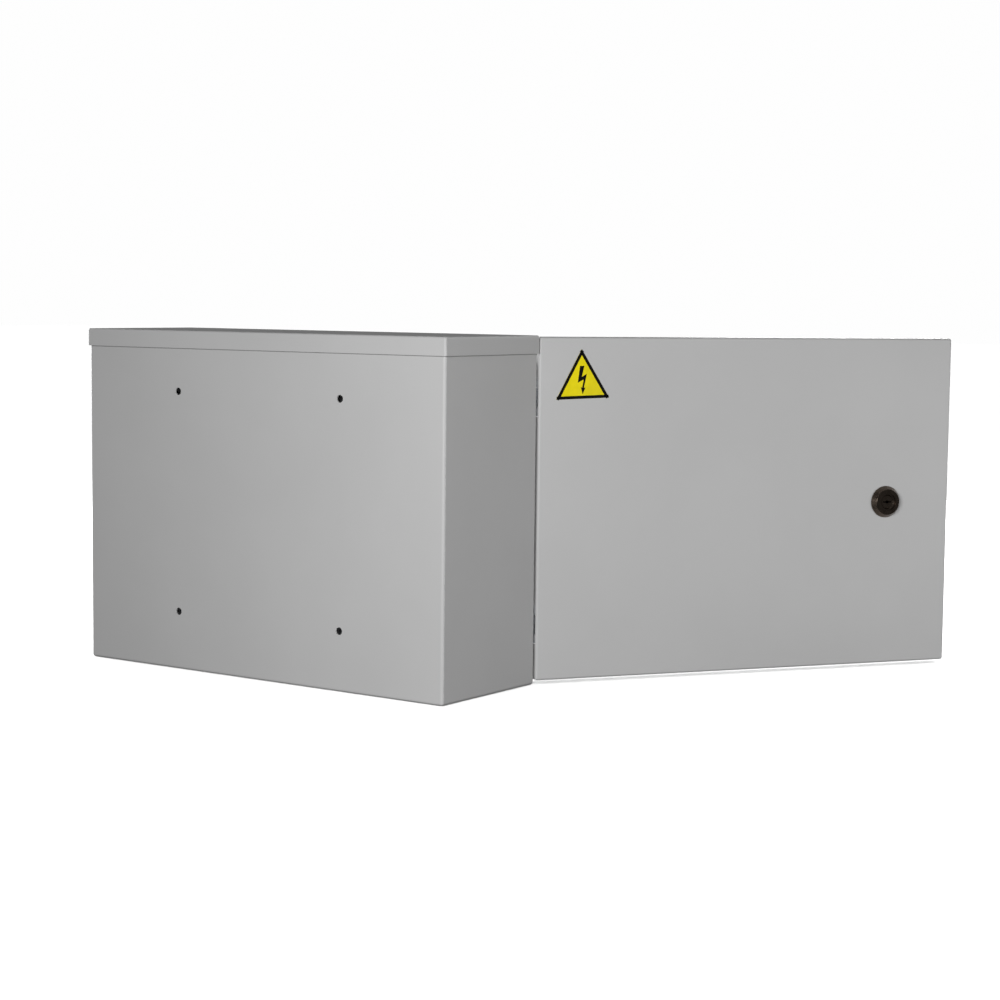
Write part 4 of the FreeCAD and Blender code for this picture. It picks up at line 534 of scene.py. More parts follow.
def insulation(name, colour):
    """Extruded wire insulation, slightly uneven along its length."""
    material, tree, shader = new_material(name)
    uneven = noise(tree, 260.0, 3.0)
    dress(tree, shader, shades(tree, uneven, tint(colour, 0.88), tint(colour, 1.10)),
          spread(tree, uneven, 0.29, 0.44), relief(tree, noise(tree, 900.0, 2.0), 0.15, 0.0001))
    return material


def earth_insulation(green, yellow, output, axis, repeat):
    """Green insulation with yellow stripes that follow the wire."""
    material, tree, shader = new_material("earth_insulation_" + output.lower())
    wave = calculate(tree, "SINE", calculate(tree, "MULTIPLY", along(tree, axis, output), repeat))
    uneven = noise(tree, 300.0, 3.0)
    base = shades(tree, uneven, tint(green, 0.88), tint(green, 1.12))
    stripe = shades(tree, uneven, tint(yellow, 0.92), tint(yellow, 1.05))
    dress(tree, shader, choose(tree, calculate(tree, "GREATER_THAN", wave, STRIPE_EDGE), base, stripe),
          spread(tree, uneven, 0.30, 0.44))
    return material


def foam(colour):
    """Closed-cell foam with a skin of fine pores."""
    material, tree, shader = new_material("foam")
    dress(tree, shader, shades(tree, noise(tree, 120.0), tint(colour, 0.75), tint(colour, 1.5)),
          spread(tree, noise(tree, 400.0), 0.75, 0.95),
          relief(tree, cells(tree, 1100.0)["Distance"], 0.5, 0.0003))
    return material


def clear_plastic():
    """Clear cap with faint moulding haze."""
    material, tree, shader = new_material("clear_cap")
    haze = noise(tree, 160.0, 3.0)
    dress(tree, shader, shades(tree, haze, (0.90, 0.93, 0.93), (0.97, 0.98, 0.98)),
          spread(tree, haze, 0.03, 0.10))
    shader.inputs["IOR"].default_value = 1.49
    shader.inputs["Transmission Weight"].default_value = 0.94
    return material


def relay_core(plastic, copper):
    """Plastic base with a copper winding in front of it."""
    winding = node_box("relay_cores")[1].y - WINDING_FRONT

    def colour_in(tree, shade):
        wound = noise(tree, 30.0, 2.0, 0.5, (1.0, 90.0, 1.0))
        turns = shades(tree, wound, tint(copper, 0.55), tint(copper, 1.2))
        return choose(tree, past(tree, "Y", winding), turns, shade)

    return moulded("relay_core", plastic, 0.38, 900.0, colour_in)


LAMPS = 4


def lamp_lens(colours):
    """Tinted lamp lenses: two green, one amber and one red along X."""
    low, high = node_box("controller_lamps")
    step = (high.x - low.x) / LAMPS
    rest = (colours.lamp_green, colours.lamp_amber, colours.red)
    bands = [(low.x + i * step, colour) for i, colour in enumerate(rest, 1)]
    material = moulded("lamp_lens", colours.lamp_green, 0.14, 500.0, in_bands("X", bands))
    material.node_tree.nodes["Principled BSDF"].inputs["Coat Weight"].default_value = 0.6
    return material


FIELD_BLOCKS = 13
FIRST_NEUTRAL = 5
FIRST_CONTROL = 7
FIRST_EARTH = 11


def block_moulding(colours):
    """Grey blocks, with the neutral ones blue and the earth ones green."""
    low, high = node_box("terminal_blocks")
    pitch = (high.x - low.x) / FIELD_BLOCKS
    grey = tint(colours.housing_grey, 1.15)
    groups = ((FIRST_NEUTRAL, colours.blue), (FIRST_CONTROL, grey), (FIRST_EARTH, colours.green))
    bands = [(low.x + pitch * first, colour) for first, colour in groups]
    return moulded("terminal_moulding", grey, colour_in=in_bands("X", bands))


def insulator_moulding(colours):
    """Blue insulators under the neutral bar and green ones under the earth bar."""
    green = tint(colours.green, 1.1)
    return moulded("insulator_moulding", colours.blue, 0.36, colour_in=in_bands("X", [(0.0, green)]))


def finishes_by_node(colours):
    """Material of each CAD node that stays in view."""
    shared = (
        (powder_coat("powder_coat", colours.paint, colours.paint_gloss), ("top_cover", "door_panel")),
        (plated("zinc_plating", colours.zinc, 0.30), (
            "cover_nuts", "m6_nuts", "panel_screws", "bar_screws", "door_earth_nuts", "hinge_pins",
            "terminal_screws", "contactor_terminals", "body_hinge_brackets", "door_hinge_brackets",
            "lock_nut", "lock_cam", "cam_screw")),
        (galvanised(colours.sheet_zinc), (
            "gland_plate", "mounting_plate", "upper_din_rail", "lower_din_rail")),
        (plated("drawn_brass", colours.brass, 0.28, 90.0, (0.05, 1.0, 1.0)), ("neutral_bar", "earth_bar")),
        (plated("lock_plating", colours.lock_metal, 0.22, 200.0, darkest=0.7), (
            "lock_housing", "lock_plug")),
        (moulded("pale_housing", colours.housing), (
            "mains_breaker_poles", "generator_breaker_poles", "control_breaker_pole", "controller_case")),
        (moulded("grey_housing", colours.housing_grey), (
            "end_clamps", "interlock_module", "mains_contactor_housing", "generator_contactor_housing")),
        (moulded("black_housing", colours.housing_black, 0.42), (
            "mains_contactor_base", "generator_contactor_base", "relay_sockets", "mains_breaker_lever",
            "generator_breaker_lever", "control_breaker_lever")),
        (moulded("blue_moulding", colours.blue), (
            "mains_contactor_carrier", "generator_contactor_carrier", "test_button")),
        (moulded("knob_moulding", colours.orange, 0.40), ("delay_knob", "threshold_knob")),
    )
    nodes = {name: material for material, names in shared for name in names}
    nodes.update({
        "body_shell": painted_shadow_coat(colours.paint, colours.paint_gloss),
        "controller_face": moulded("front_plate", colours.front_plate, 0.32, 2200.0),
        "relay_covers": clear_plastic(),
        "relay_cores": relay_core(colours.relay_base, colours.copper),
        "gland_gasket": foam(colours.foam),
        "controller_lamps": lamp_lens(colours),
        "terminal_blocks": block_moulding(colours),
        "bar_insulators": insulator_moulding(colours),
        "brown_phase_wires": insulation("brown_insulation", colours.wire_brown),
        "black_phase_wires": insulation("black_insulation", colours.wire_black),
        "grey_phase_wires": insulation("grey_insulation", colours.wire_grey),
        "neutral_wires": insulation("blue_insulation", colours.blue),
        "control_wires": insulation("red_insulation", colours.red),
        "earth_wires": earth_insulation(colours.green, colours.yellow, "Normal", "X", 2.4),
    })
    return nodes


# ---------------------------------------------------------------- operators

class TRANSFER_OT_finishes(bpy.types.Operator):
    """Gives every cabinet part its finish"""

    bl_idname = "transfer_switch.finishes"
    bl_label = "Apply Finishes"

    def execute(self, context):
        colours = context.scene.transfer_switch.finishes
        for name, material in finishes_by_node(colours).items():
            for slot in NODES[name].material_slots:
                slot.material = material
        return {"FINISHED"}


class TRANSFER_OT_door_seal(bpy.types.Operator):
    """Adds the poured foam seal inside the door"""

    bl_idname = "transfer_switch.door_seal"
    bl_label = "Add Door Seal"

    def execute(self, context):
        settings = context.scene.transfer_switch
        low, high = shut_box("door_seal", door_turn())
        middle = (low + high) / 2
        middle.y = low.y
        obj = start_from(bpy.ops.mesh.primitive_plane_add, size=1.0, location=middle, rotation=FACING_FRONT)
        bpy.ops.transform.resize(value=(high.x - low.x, 1.0, high.z - low.z), center_override=middle)
        bpy.ops.mesh.select_all(action="SELECT")
        bpy.ops.mesh.bevel(offset=settings.sizes.seal_corner, segments=8, affect="VERTICES")
        bpy.ops.mesh.select_all(action="SELECT")
        keep_rim(settings.sizes.seal_width, (0.0, high.y - low.y, 0.0))
        put_down(obj)
        soften(obj, settings.sizes.seal_crown, 4, 50.0)
        lay(obj, door_turn())
        finish_piece(obj, "foam_seal", "door", foam(settings.finishes.foam), 60.0)
        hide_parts("door_seal")
        return {"FINISHED"}


SIGN_EDGE = 0.00008
PRINT_MARGIN = 0.0002
# Corners of the mark, as shares of the sign's height from the middle of its base.
ZIGZAG = [(-0.045, 0.66), (0.050, 0.66), (-0.010, 0.44), (0.100, 0.50), (0.030, 0.22), (0.062, 0.22),
          (0.000, 0.09), (-0.036, 0.23), (-0.006, 0.225), (0.030, 0.385), (-0.100, 0.325)]


class TRANSFER_OT_warning_sign(bpy.types.Operator):
    """Adds the triangular sign with its border and a plain zigzag mark"""

    bl_idname = "transfer_switch.warning_sign"
    bl_label = "Add Warning Sign"

    def execute(self, context):
        settings = context.scene.transfer_switch
        place = door_turn() @ Matrix.Rotation(-settings.sizes.sign_turn, 4, "Y")
        low, high = shut_box("warning_label", place)
        ink = printed("sign_ink", settings.finishes.sign_black, 0.42, 0.15)
        yellow = printed("sign_yellow", settings.finishes.yellow, 0.36, 0.25)
        corner = settings.sizes.sign_corner
        plate = lay(self.plate(low, high, corner), place)
        finish_piece(plate, "sign_plate", "door", yellow, 30.0)
        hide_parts("warning_label")
        rise = settings.sizes.sign_print
        border = lay(self.border(low, high, corner, settings.sizes.sign_border, rise), place)
        finish_piece(border, "sign_border", "door", ink, 30.0)
        mark = lay(self.zigzag(low, high, rise), place)
        finish_piece(mark, "sign_mark", "door", ink, 30.0)
        return {"FINISHED"}

    def triangle(self, low, high, y, corner):
        """A flat triangle with rounded corners that faces out of the door."""
        side = high.x - low.x
        height = side * math.sqrt(3) / 2
        middle = Vector(((low.x + high.x) / 2, y, low.z + height / 3))
        obj = start_from(bpy.ops.mesh.primitive_circle_add, vertices=3, radius=height * 2 / 3,
                         fill_type="NGON", location=middle, rotation=FACING_FRONT)
        bpy.ops.mesh.bevel(offset=corner, segments=5, affect="VERTICES")
        bpy.ops.mesh.select_all(action="SELECT")
        return obj

    def plate(self, low, high, corner):
        obj = self.triangle(low, high, high.y, corner)
        draw_out((0.0, low.y - high.y, 0.0))
        put_down(obj)
        return soften(obj, SIGN_EDGE, 2)

    def border(self, low, high, corner, width, rise):
        obj = self.triangle(low, high, low.y, corner)
        bpy.ops.mesh.inset(thickness=PRINT_MARGIN, use_even_offset=True)
        bpy.ops.mesh.select_all(action="INVERT")
        bpy.ops.mesh.delete(type="FACE")
        bpy.ops.mesh.select_all(action="SELECT")
        keep_rim(width, (0.0, -rise, 0.0))
        return put_down(obj)

    def zigzag(self, low, high, rise):
        """Two slanted bars and a point."""
        height = (high.x - low.x) * math.sqrt(3) / 2
        centre = (low.x + high.x) / 2
        obj = start_from(bpy.ops.mesh.primitive_plane_add)
        bpy.ops.mesh.delete(type="VERT")
        mesh = bmesh.from_edit_mesh(obj.data)
        corners = [mesh.verts.new((centre + x * height, low.y, low.z + z * height)) for x, z in ZIGZAG]
        mesh.faces.new(corners)
        bmesh.update_edit_mesh(obj.data)
        bpy.ops.mesh.select_all(action="SELECT")
        draw_out((0.0, -rise, 0.0))
        return put_down(obj)


# Radius of a small grommet's hole, as a share of a large one's.
SMALL_GROMMET = 0.6


class TRANSFER_OT_grommets(bpy.types.Operator):
    """Adds the five membrane grommets of the cable entry"""

    bl_idname = "transfer_switch.grommets"
    bl_label = "Add Grommets"

    def execute(self, context):
        settings = context.scene.transfer_switch
        low, high = node_box("cable_grommets")
        plate_low, plate_high = node_box("gland_plate")
        thick = plate_high.z - plate_low.z
        lap = settings.sizes.grommet_lap
        large = (high.y - low.y) / 2 - lap
        small = large * SMALL_GROMMET
        reach = high.x - large - lap
        middle = (low + high) / 2
        pieces = []
        for share, radius in ((-1.0, large), (-0.5, small), (0.0, large), (0.5, small), (1.0, large)):
            foot = Vector((middle.x + share * reach, middle.y, plate_low.z))
            pieces.append(turned(foot, self.rings(radius, lap, thick)))
        obj = joined(pieces)
        rubber = moulded("grommet_rubber", settings.finishes.grommet, 0.62, 700.0)
        finish_piece(obj, "membrane_grommets", "cabinet", rubber, 35.0)
        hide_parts("cable_grommets")
        return {"FINISHED"}

    def rings(self, radius, lap, thick):
        """Lip under the plate, groove, lip above it, and a stepped cone with a thin top."""
        lip = radius + lap
        groove = radius - 0.05 * MM
        below = [(radius * 0.30, -0.6), (radius - 3.6 * MM, -0.8), (radius - 2.6 * MM, -1.7),
                 (lip - 0.5 * MM, -1.7), (lip, -1.2), (lip, -0.03), (groove, -0.03)]
        above = [(groove, 0.03), (lip, 0.03), (lip, 1.1), (lip - 0.6 * MM, 1.6), (radius - 0.9 * MM, 2.2),
                 (radius - 2.2 * MM, 5.8), (radius - 2.9 * MM, 6.2), (radius * 0.62, 6.3),
                 (radius * 0.58, 7.6), (radius * 0.40, 7.8), (radius * 0.36, 8.7), (radius * 0.10, 8.9)]
        return ([(wide, height * MM) for wide, height in below]
                + [(wide, thick + height * MM) for wide, height in above])


LUG_REACH = 0.0065
LUG_RIM = 0.0033
LUG_THICK = 0.0012
LUG_EDGE = 0.0002
BARREL_R = 0.0030
BARREL_LENGTH = 0.0080
BARREL_PLAY = 0.0001
# Steps of the barrel towards the ring: length, and how much wider and thinner it gets.
BARREL_PRESS = ((0.0066, 1.0, 1.0), (0.0016, 1.15, 0.42), (0.0016, 1.0, 0.55))
# From the stud on the body to the stud on the door.
EARTH_LEAD_ROUTE = [
    (-0.1942, -0.1040, -0.0585),
    (-0.1942, -0.1040, -0.0745),
    (-0.1900, -0.1115, -0.0885),
    (-0.1783, -0.1215, -0.1000),
    (-0.1653, -0.1360, -0.1070),
    (-0.1633, -0.1570, -0.1105),
    (-0.1718, -0.1760, -0.1120),
    (-0.1898, -0.1868, -0.1115),
    (-0.2053, -0.1833, -0.1100),
    (-0.2168, -0.1668, -0.0985),
    (-0.2168, -0.1668, -0.0815),
]


class TRANSFER_OT_earth_lead(bpy.types.Operator):
    """Adds the flexible earth lead between body and door, with its two ring lugs"""

    bl_idname = "transfer_switch.earth_lead"
    bl_label = "Add Earth Lead"

    def execute(self, context):
        settings = context.scene.transfer_switch
        diameter = settings.sizes.lead_diameter
        line = self.line()
        path = self.points_on(line)
        line.data.bevel_depth = diameter / 2
        line.data.bevel_resolution = 5
        line.data.use_fill_caps = True
        only(line)
        bpy.ops.object.convert(target="MESH")
        lead = bpy.context.object
        sleeve = earth_insulation(settings.finishes.green, settings.finishes.yellow, "UV", "Y", 2 * math.pi)
        finish_piece(lead, "earth_lead", None, sleeve, 60.0)
        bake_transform(lead)
        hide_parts("door_earth_lead")
        tin = plated("lug_tin", settings.finishes.zinc, 0.34)
        upright = Matrix.Rotation(radians(90), 4, "X")
        for end, turn, name, body in ((-1, door_turn().to_3x3().to_4x4(), "door_lug", "door"),
                                      (0, Matrix.Rotation(radians(90), 4, "Z"), "body_lug", "cabinet")):
            stud = Vector(EARTH_LEAD_ROUTE[end]) + UP * LUG_REACH
            lug = self.lug(Matrix.Translation(stud) @ turn @ upright, diameter)
            finish_piece(lug, name, body, tin, 35.0)
        return {"FINISHED"}

    def line(self):
        """The lead's line: a smooth curve past the points of its route."""
        curve = bpy.data.curves.new("earth_lead", "CURVE")
        curve.dimensions = "3D"
        spline = curve.splines.new("NURBS")
        spline.points.add(len(EARTH_LEAD_ROUTE) - 1)
        for point, place in zip(spline.points, EARTH_LEAD_ROUTE):
            point.co = (*place, 1.0)
        spline.order_u = 3
        spline.use_endpoint_u = True
        spline.resolution_u = 16
        obj = bpy.data.objects.new("earth_lead", curve)
        bpy.context.scene.collection.objects.link(obj)
        return obj

    def points_on(self, line):
        """Points along the line, in order."""
        bpy.context.view_layer.update()
        mesh = bpy.data.meshes.new_from_object(line.evaluated_get(bpy.context.evaluated_depsgraph_get()))
        points = [tuple(v.co) for v in mesh.vertices]
        bpy.data.meshes.remove(mesh)
        return points

    def lug(self, matrix, diameter):
        """A ring for the stud and a crimped barrel for the lead, drawn flat with the barrel along -Y."""
        ring = start_from(bpy.ops.mesh.primitive_circle_add, vertices=40, radius=LUG_REACH, fill_type="NGON",
                          location=(0.0, 0.0, -LUG_THICK / 2))
        keep_rim(LUG_RIM, (0.0, 0.0, LUG_THICK))
        put_down(ring)
        soften(ring, LUG_EDGE, 2)
        barrel = start_from(bpy.ops.mesh.primitive_circle_add, vertices=32, radius=BARREL_R,
                            fill_type="NOTHING", location=(0.0, -LUG_REACH - BARREL_LENGTH, 0.0),
                            rotation=FACING_FRONT)
        for place, wide, thick in BARREL_PRESS:
            draw_out((0.0, place, 0.0))
            bpy.ops.transform.resize(value=(wide, 1.0, thick), center_override=(0.0, 0.0, 0.0))
        put_down(barrel)
        wall = barrel.modifiers.new("Barrel Wall", "SOLIDIFY")
        wall.thickness = BARREL_R - diameter / 2 - BARREL_PLAY
        wall.offset = -1.0
        bpy.ops.object.modifier_apply(modifier=wall.name)
        return lay(joined([ring, barrel]), matrix)


# Between neighbouring poles, and between neighbouring terminal blocks.
ROW_GAP = 0.0002
# Marks are (width, height, how far the mark's middle stands over the middle of what it is on).
ON_BAR = (0.0008, 0.0035, 0.01825)
STATE_WINDOW = (0.0052, 0.0020, 0.0138)
OFF_RING_DROP = 0.0182
OFF_RING_R = 0.0017
OFF_RING_WIDTH = 0.0006
BAND_LEFT = 0.0010
BAND_RIGHT = 0.0006
BAND_HEIGHT = 0.0008
BAND_DROP = 0.0210
FOOT_BACK = 0.0085
FOOT_DROP = 0.0010
FOOT_THICK = 0.0030
FOOT_TALL = 0.0060
FOOT_SLOT_RIM = 0.0014
FOOT_SLOT_DEPTH = 0.0012
FOOT_EDGE = 0.0003


def poles():
    """(lowest, highest corner) of every breaker pole."""
    found = []
    for name, count in (("mains_breaker_poles", 3), ("generator_breaker_poles", 3),
                        ("control_breaker_pole", 1)):
        low, high = node_box(name)
        pitch = (high.x - low.x + ROW_GAP) / count
        for i in range(count):
            first = low.x + i * pitch
            found.append((Vector((first, low.y, low.z)), Vector((first + pitch - ROW_GAP, high.y, high.z))))
    return found


class TRANSFER_OT_breaker_marks(bpy.types.Operator):
    """Adds the breakers' on and off marks, state windows, bands and rail feet"""

    bl_idname = "transfer_switch.breaker_marks"
    bl_label = "Add Breaker Marks"

    def execute(self, context):
        settings = context.scene.transfer_switch
        rise = settings.sizes.print_height
        bars, rings, windows, feet, bands = [], [], [], [], []
        for low, high in poles():
            x, z, front = (low.x + high.x) / 2, (low.z + high.z) / 2, low.y
            bars.append(on_front(x, z, front, ON_BAR, rise))
            rings.append(printed_ring((x, front, z - OFF_RING_DROP), OFF_RING_R, OFF_RING_WIDTH, rise))
            windows.append(on_front(x, z, front, STATE_WINDOW, rise))
            band = (high.x - low.x - BAND_LEFT - BAND_RIGHT, BAND_HEIGHT, -BAND_DROP)
            bands.append(on_front(x + (BAND_LEFT - BAND_RIGHT) / 2, z, front, band, rise))
            half = settings.sizes.foot_width / 2
            feet.append(self.foot(x - half, x + half, high.y, low.z))
        ink = printed("printed_ink", settings.finishes.print_black)
        red = printed("window_red", settings.finishes.red, 0.25)
        foot_plastic = moulded("foot_moulding", settings.finishes.orange, 0.42)
        for pieces, name, slot, material in ((bars + rings, "on_off_marks", "black_plastic", ink),
                                             (windows, "state_windows", "red_pvc", red),
                                             (bands, "breaker_bands", "black_plastic", ink),
                                             (feet, "rail_feet", "knob_plastic", foot_plastic)):
            finish_piece(joined(pieces), name, "cabinet", material)
        return {"FINISHED"}

    def foot(self, left, right, back, bottom):
        """A sliding foot below the pole with a slot for a screwdriver."""
        centre = ((left + right) / 2, back - FOOT_BACK, bottom - FOOT_DROP)
        obj = start_from(bpy.ops.mesh.primitive_cube_add, size=1.0, location=centre)
        bpy.ops.transform.resize(value=(right - left, FOOT_THICK, FOOT_TALL), center_override=centre)
        put_down(obj)
        bpy.ops.object.mode_set(mode="EDIT")
        pick_faces(obj, lambda face: face.normal.y < -0.9)
        bpy.ops.mesh.inset(thickness=FOOT_SLOT_RIM, use_even_offset=True)
        draw_out((0.0, FOOT_SLOT_DEPTH, 0.0))
        put_down(obj)
        return soften(obj, FOOT_EDGE, 2)


TICKS = 11
TICK_SWEEP = radians(270)
TICK_R = 0.0071
TICK_LENGTH = 0.0013
TICK_WIDTH = 0.00036
BUTTON_RING_R = 0.0056
BUTTON_RING_WIDTH = 0.0005
LAMP_R = 0.002
# Marks as above, with the lamp's line placed from the lamp's lowest point.
LAMP_LINE = (0.0056, 0.0006, -0.0022)
EDGE_LINE_IN = 0.0012
EDGE_LINE_SHORT = 0.003
EDGE_LINE_HEIGHT = 0.0003


class TRANSFER_OT_controller_marks(bpy.types.Operator):
    """Adds the knobs' scales, the button's ring, the lamp lines and the plate's edge lines"""

    bl_idname = "transfer_switch.controller_marks"
    bl_label = "Add Controller Marks"

    def execute(self, context):
        settings = context.scene.transfer_switch
        rise = settings.sizes.print_height
        face_low, face_high = node_box("controller_face")
        front = face_low.y
        pieces = []
        for name in ("delay_knob", "threshold_knob"):
            centre = self.centre_on(name, front)
            for i in range(TICKS):
                pieces.append(self.tick(centre, TICK_SWEEP * (i / (TICKS - 1) - 0.5), rise))
        pieces.append(printed_ring(self.centre_on("test_button", front), BUTTON_RING_R,
                                   BUTTON_RING_WIDTH, rise))
        low, high = node_box("controller_lamps")
        step = (high.x - low.x - 2 * LAMP_R) / (LAMPS - 1)
        for i in range(LAMPS):
            pieces.append(on_front(low.x + LAMP_R + i * step, low.z, front, LAMP_LINE, rise))
        line = (face_high.x - face_low.x - 2 * EDGE_LINE_SHORT, EDGE_LINE_HEIGHT, 0.0)
        for z in (face_low.z + EDGE_LINE_IN, face_high.z - EDGE_LINE_IN):
            pieces.append(on_front((face_low.x + face_high.x) / 2, z, front, line, rise))
        white = printed("printed_white", settings.finishes.print_white)
        finish_piece(joined(pieces), "controller_scales", "cabinet", white)
        return {"FINISHED"}

    def centre_on(self, name, front):
        """Where the middle of a node stands on the front plate."""
        low, high = node_box(name)
        return Vector(((low.x + high.x) / 2, front, (low.z + high.z) / 2))

    def tick(self, centre, angle, rise):
        """A short bar that points at the knob's middle."""
        mark = (TICK_WIDTH, TICK_LENGTH, TICK_R + TICK_LENGTH / 2)
        obj = on_front(centre.x, centre.z, centre.y, mark, rise)
        turn = Matrix.Translation(centre) @ Matrix.Rotation(angle, 4, "Y") @ Matrix.Translation(-centre)
        return lay(obj, turn)


TAG_HEIGHT = 0.0022
TAG_OUT = 0.0007
TAG_SUNK = 0.0001
TAG_EDGE = 0.0002
LABEL_HOLDER = (0.0210, 0.0030, -0.0197)
HOLDER_OUT = 0.0006
HOLDER_EDGE = 0.0003


class TRANSFER_OT_terminal_tags(bpy.types.Operator):
    """Adds a white tag to each terminal block and a label holder to each contactor"""

    bl_idname = "transfer_switch.terminal_tags"
    bl_label = "Add Terminal Tags"

    def execute(self, context):
        settings = context.scene.transfer_switch
        low, high = node_box("terminal_blocks")
        pitch = (high.x - low.x + ROW_GAP) / FIELD_BLOCKS
        tag = (settings.sizes.tag_width, TAG_HEIGHT, 0.0)
        tags = []
        for i in range(FIELD_BLOCKS):
            x = low.x + (i + 0.5) * pitch - ROW_GAP / 2
            tags.append(on_front(x, (low.z + high.z) / 2, low.y, tag, TAG_OUT, TAG_SUNK, TAG_EDGE))
        for name in ("mains_contactor_housing", "generator_contactor_housing"):
            low, high = node_box(name)
            tags.append(on_front((low.x + high.x) / 2, (low.z + high.z) / 2, low.y, LABEL_HOLDER,
                                 HOLDER_OUT, TAG_SUNK, HOLDER_EDGE))
        white = printed("tag_white", settings.finishes.tag_white, 0.38)
        finish_piece(joined(tags), "terminal_tags", "cabinet", white)
        return {"FINISHED"}


FLOOR_DROP = 0.0002
CAMERA_PLACE = (-1.2380, 1.4018, 0.1827)
CAMERA_YAW = radians(144.96)
CAMERA_PITCH = radians(-5.32)
CAMERA_ROLL = radians(0.63)


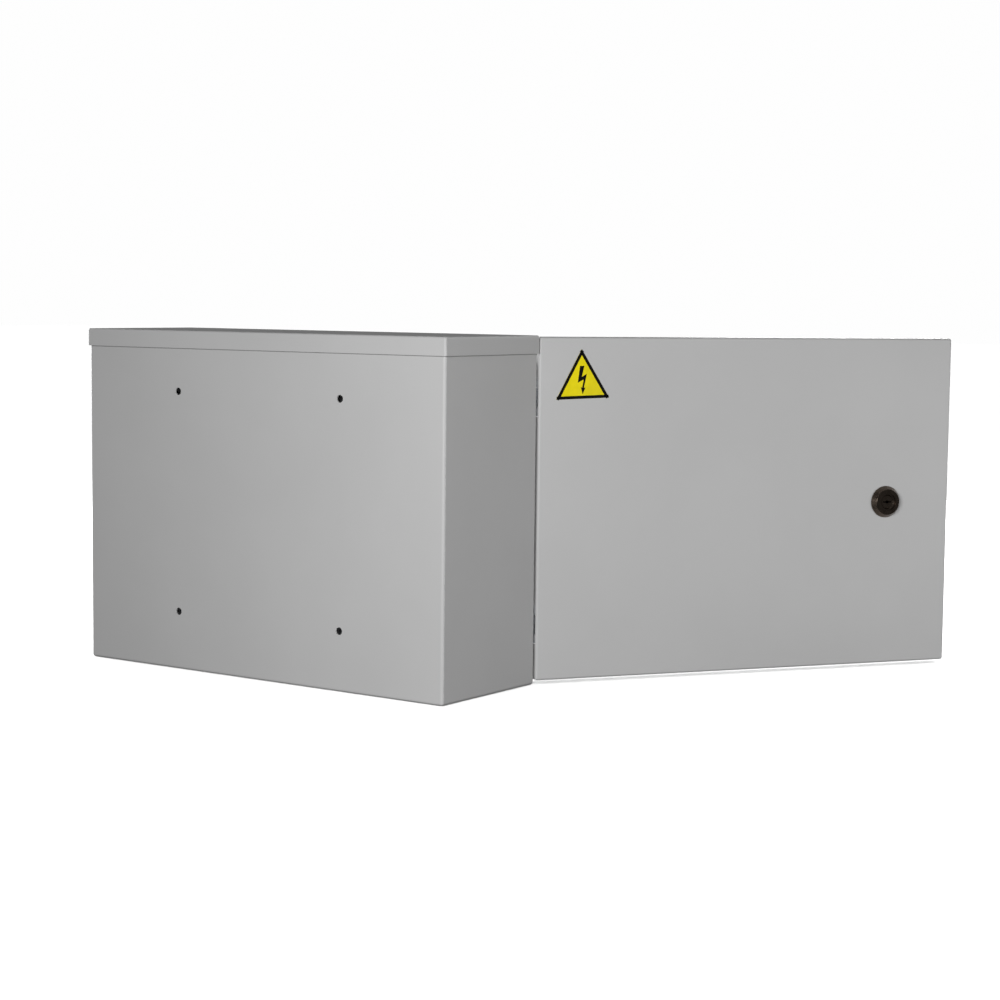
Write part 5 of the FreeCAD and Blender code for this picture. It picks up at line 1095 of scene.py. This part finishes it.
class TRANSFER_OT_stage(bpy.types.Operator):
    """Adds the floor, the lights and the camera"""

    bl_idname = "transfer_switch.stage"
    bl_label = "Add Stage"

    def execute(self, context):
        stage = context.scene.transfer_switch.stage
        floor = self.floor()
        self.lights(stage)
        self.floor_light(context, stage, floor)
        self.surroundings(context)
        self.camera(context, stage)
        return {"FINISHED"}

    def floor(self):
        """A pale floor that sends no light back at the cabinet."""
        bpy.ops.object.select_all(action="DESELECT")
        bottom = node_box("body_shell")[0].z
        bpy.ops.mesh.primitive_plane_add(size=30.0, location=(0.0, 0.0, bottom - FLOOR_DROP))
        floor = bpy.context.object
        floor.name = "floor"
        material, tree, shader = new_material("pale_floor")
        cloud = noise(tree, 1.5, 2.0)
        dress(tree, shader, shades(tree, cloud, (0.86, 0.86, 0.86), (0.88, 0.88, 0.88)),
              spread(tree, cloud, 0.80, 0.90))
        shader.inputs["Specular IOR Level"].default_value = 0.1
        floor.data.materials.append(material)
        floor.visible_diffuse = False
        floor.visible_glossy = False
        return floor

    def lights(self, stage):
        """Soft lights round the cabinet. Two of them don't show in shiny surfaces."""
        middle = (-0.20, -0.10, 0.0)
        behind = (-0.60, 0.99, 0.22)
        shine = stage.key_shine
        for name, place, target, size, power, glossy in (
                ("key_light", behind, middle, 0.5, stage.key_power * shine, True),
                ("key_light_matt", behind, middle, 0.5, stage.key_power * (1.0 - shine), False),
                ("side_light", (-0.95, -0.32, 0.0), (-0.32, -0.31, 0.0), 0.4, stage.side_power, False),
                ("front_fill", (0.05, -1.95, 0.30), (0.0, -0.05, 0.0), 1.2, stage.fill_power, True),
                ("right_light", (1.70, -0.30, 0.45), (0.15, -0.05, 0.0), 0.9, stage.right_power, True),
                ("top_light", (-0.10, -0.10, 1.80), middle, 1.6, stage.top_power, True)):
            self.area(name, place, target, size, power).visible_glossy = glossy

    def floor_light(self, context, stage, floor):
        """Even light from above that falls on the floor alone and casts no shadow."""
        data = bpy.data.lights.new("floor_light", "SUN")
        data.energy = stage.floor_strength
        data.angle = radians(170)
        data.use_shadow = False
        over = bpy.data.objects.new("floor_light", data)
        context.scene.collection.objects.link(over)
        lit = bpy.data.collections.new("lit_from_above")
        lit.objects.link(floor)
        over.light_linking.receiver_collection = lit

    def surroundings(self, context):
        """White behind the floor, and dim for everything that the cabinet reflects."""
        world = bpy.data.worlds.new("studio")
        world.use_nodes = True
        tree = world.node_tree
        back = tree.nodes["Background"]
        back.inputs["Color"].default_value = (1.0, 1.0, 1.0, 1.0)
        rays = tree.nodes.new("ShaderNodeLightPath")
        strength = 0.04
        for output, share in (("Is Camera Ray", 0.95), ("Is Glossy Ray", 0.05)):
            strength = calculate(tree, "MULTIPLY_ADD", rays.outputs[output], share, strength)
        tree.links.new(strength, back.inputs["Strength"])
        context.scene.world = world

    def area(self, name, place, target, size, power):
        """A soft square light that looks at the target and isn't seen itself."""
        data = bpy.data.lights.new(name, "AREA")
        data.energy = power
        data.size = size
        light = bpy.data.objects.new(name, data)
        light.location = place
        light.rotation_euler = (Vector(target) - Vector(place)).to_track_quat("-Z", "Y").to_euler()
        light.visible_camera = False
        bpy.context.scene.collection.objects.link(light)
        return light

    def camera(self, context, stage):
        data = bpy.data.cameras.new("camera")
        data.sensor_width = 36.0
        data.lens = stage.lens
        data.clip_start = 0.05
        camera = bpy.data.objects.new("camera", data)
        camera.location = CAMERA_PLACE
        level = Euler((radians(90) + CAMERA_PITCH, 0.0, -CAMERA_YAW), "XYZ").to_matrix()
        camera.rotation_euler = (level @ Matrix.Rotation(CAMERA_ROLL, 3, "Z")).to_euler()
        bpy.context.scene.collection.objects.link(camera)
        context.scene.camera = camera
        context.scene.view_settings.view_transform = "Standard"


class TRANSFER_PT_panel(bpy.types.Panel):
    """Lists the cabinet's steps and settings"""

    bl_idname = "TRANSFER_PT_panel"
    bl_label = "Transfer Switch"
    bl_space_type = "VIEW_3D"
    bl_region_type = "UI"
    bl_category = "Transfer Switch"

    def draw(self, context):
        layout = self.layout
        settings = context.scene.transfer_switch
        for step in STEPS:
            layout.operator(step.bl_idname)
        for group in (settings.finishes, settings.sizes, settings.stage):
            column = layout.box().column()
            for name in group.__annotations__:
                column.prop(group, name)


STEPS = (TRANSFER_OT_finishes, TRANSFER_OT_door_seal, TRANSFER_OT_warning_sign, TRANSFER_OT_grommets,
         TRANSFER_OT_earth_lead, TRANSFER_OT_breaker_marks, TRANSFER_OT_controller_marks,
         TRANSFER_OT_terminal_tags, TRANSFER_OT_stage)
CLASSES = (SwitchFinishes, SwitchSizes, SwitchStage, TransferSwitchSettings, *STEPS, TRANSFER_PT_panel)


def register():
    for cls in CLASSES:
        bpy.utils.register_class(cls)
    bpy.types.Scene.transfer_switch = bpy.props.PointerProperty(type=TransferSwitchSettings)


def unregister():
    del bpy.types.Scene.transfer_switch
    for cls in reversed(CLASSES):
        bpy.utils.unregister_class(cls)


def main():
    register()
    bpy.ops.transfer_switch.finishes()
    bpy.ops.transfer_switch.door_seal()
    bpy.ops.transfer_switch.warning_sign()
    bpy.ops.transfer_switch.grommets()
    bpy.ops.transfer_switch.earth_lead()
    bpy.ops.transfer_switch.breaker_marks()
    bpy.ops.transfer_switch.controller_marks()
    bpy.ops.transfer_switch.terminal_tags()
    bpy.ops.transfer_switch.stage()


if __name__ == "__main__":
    main()
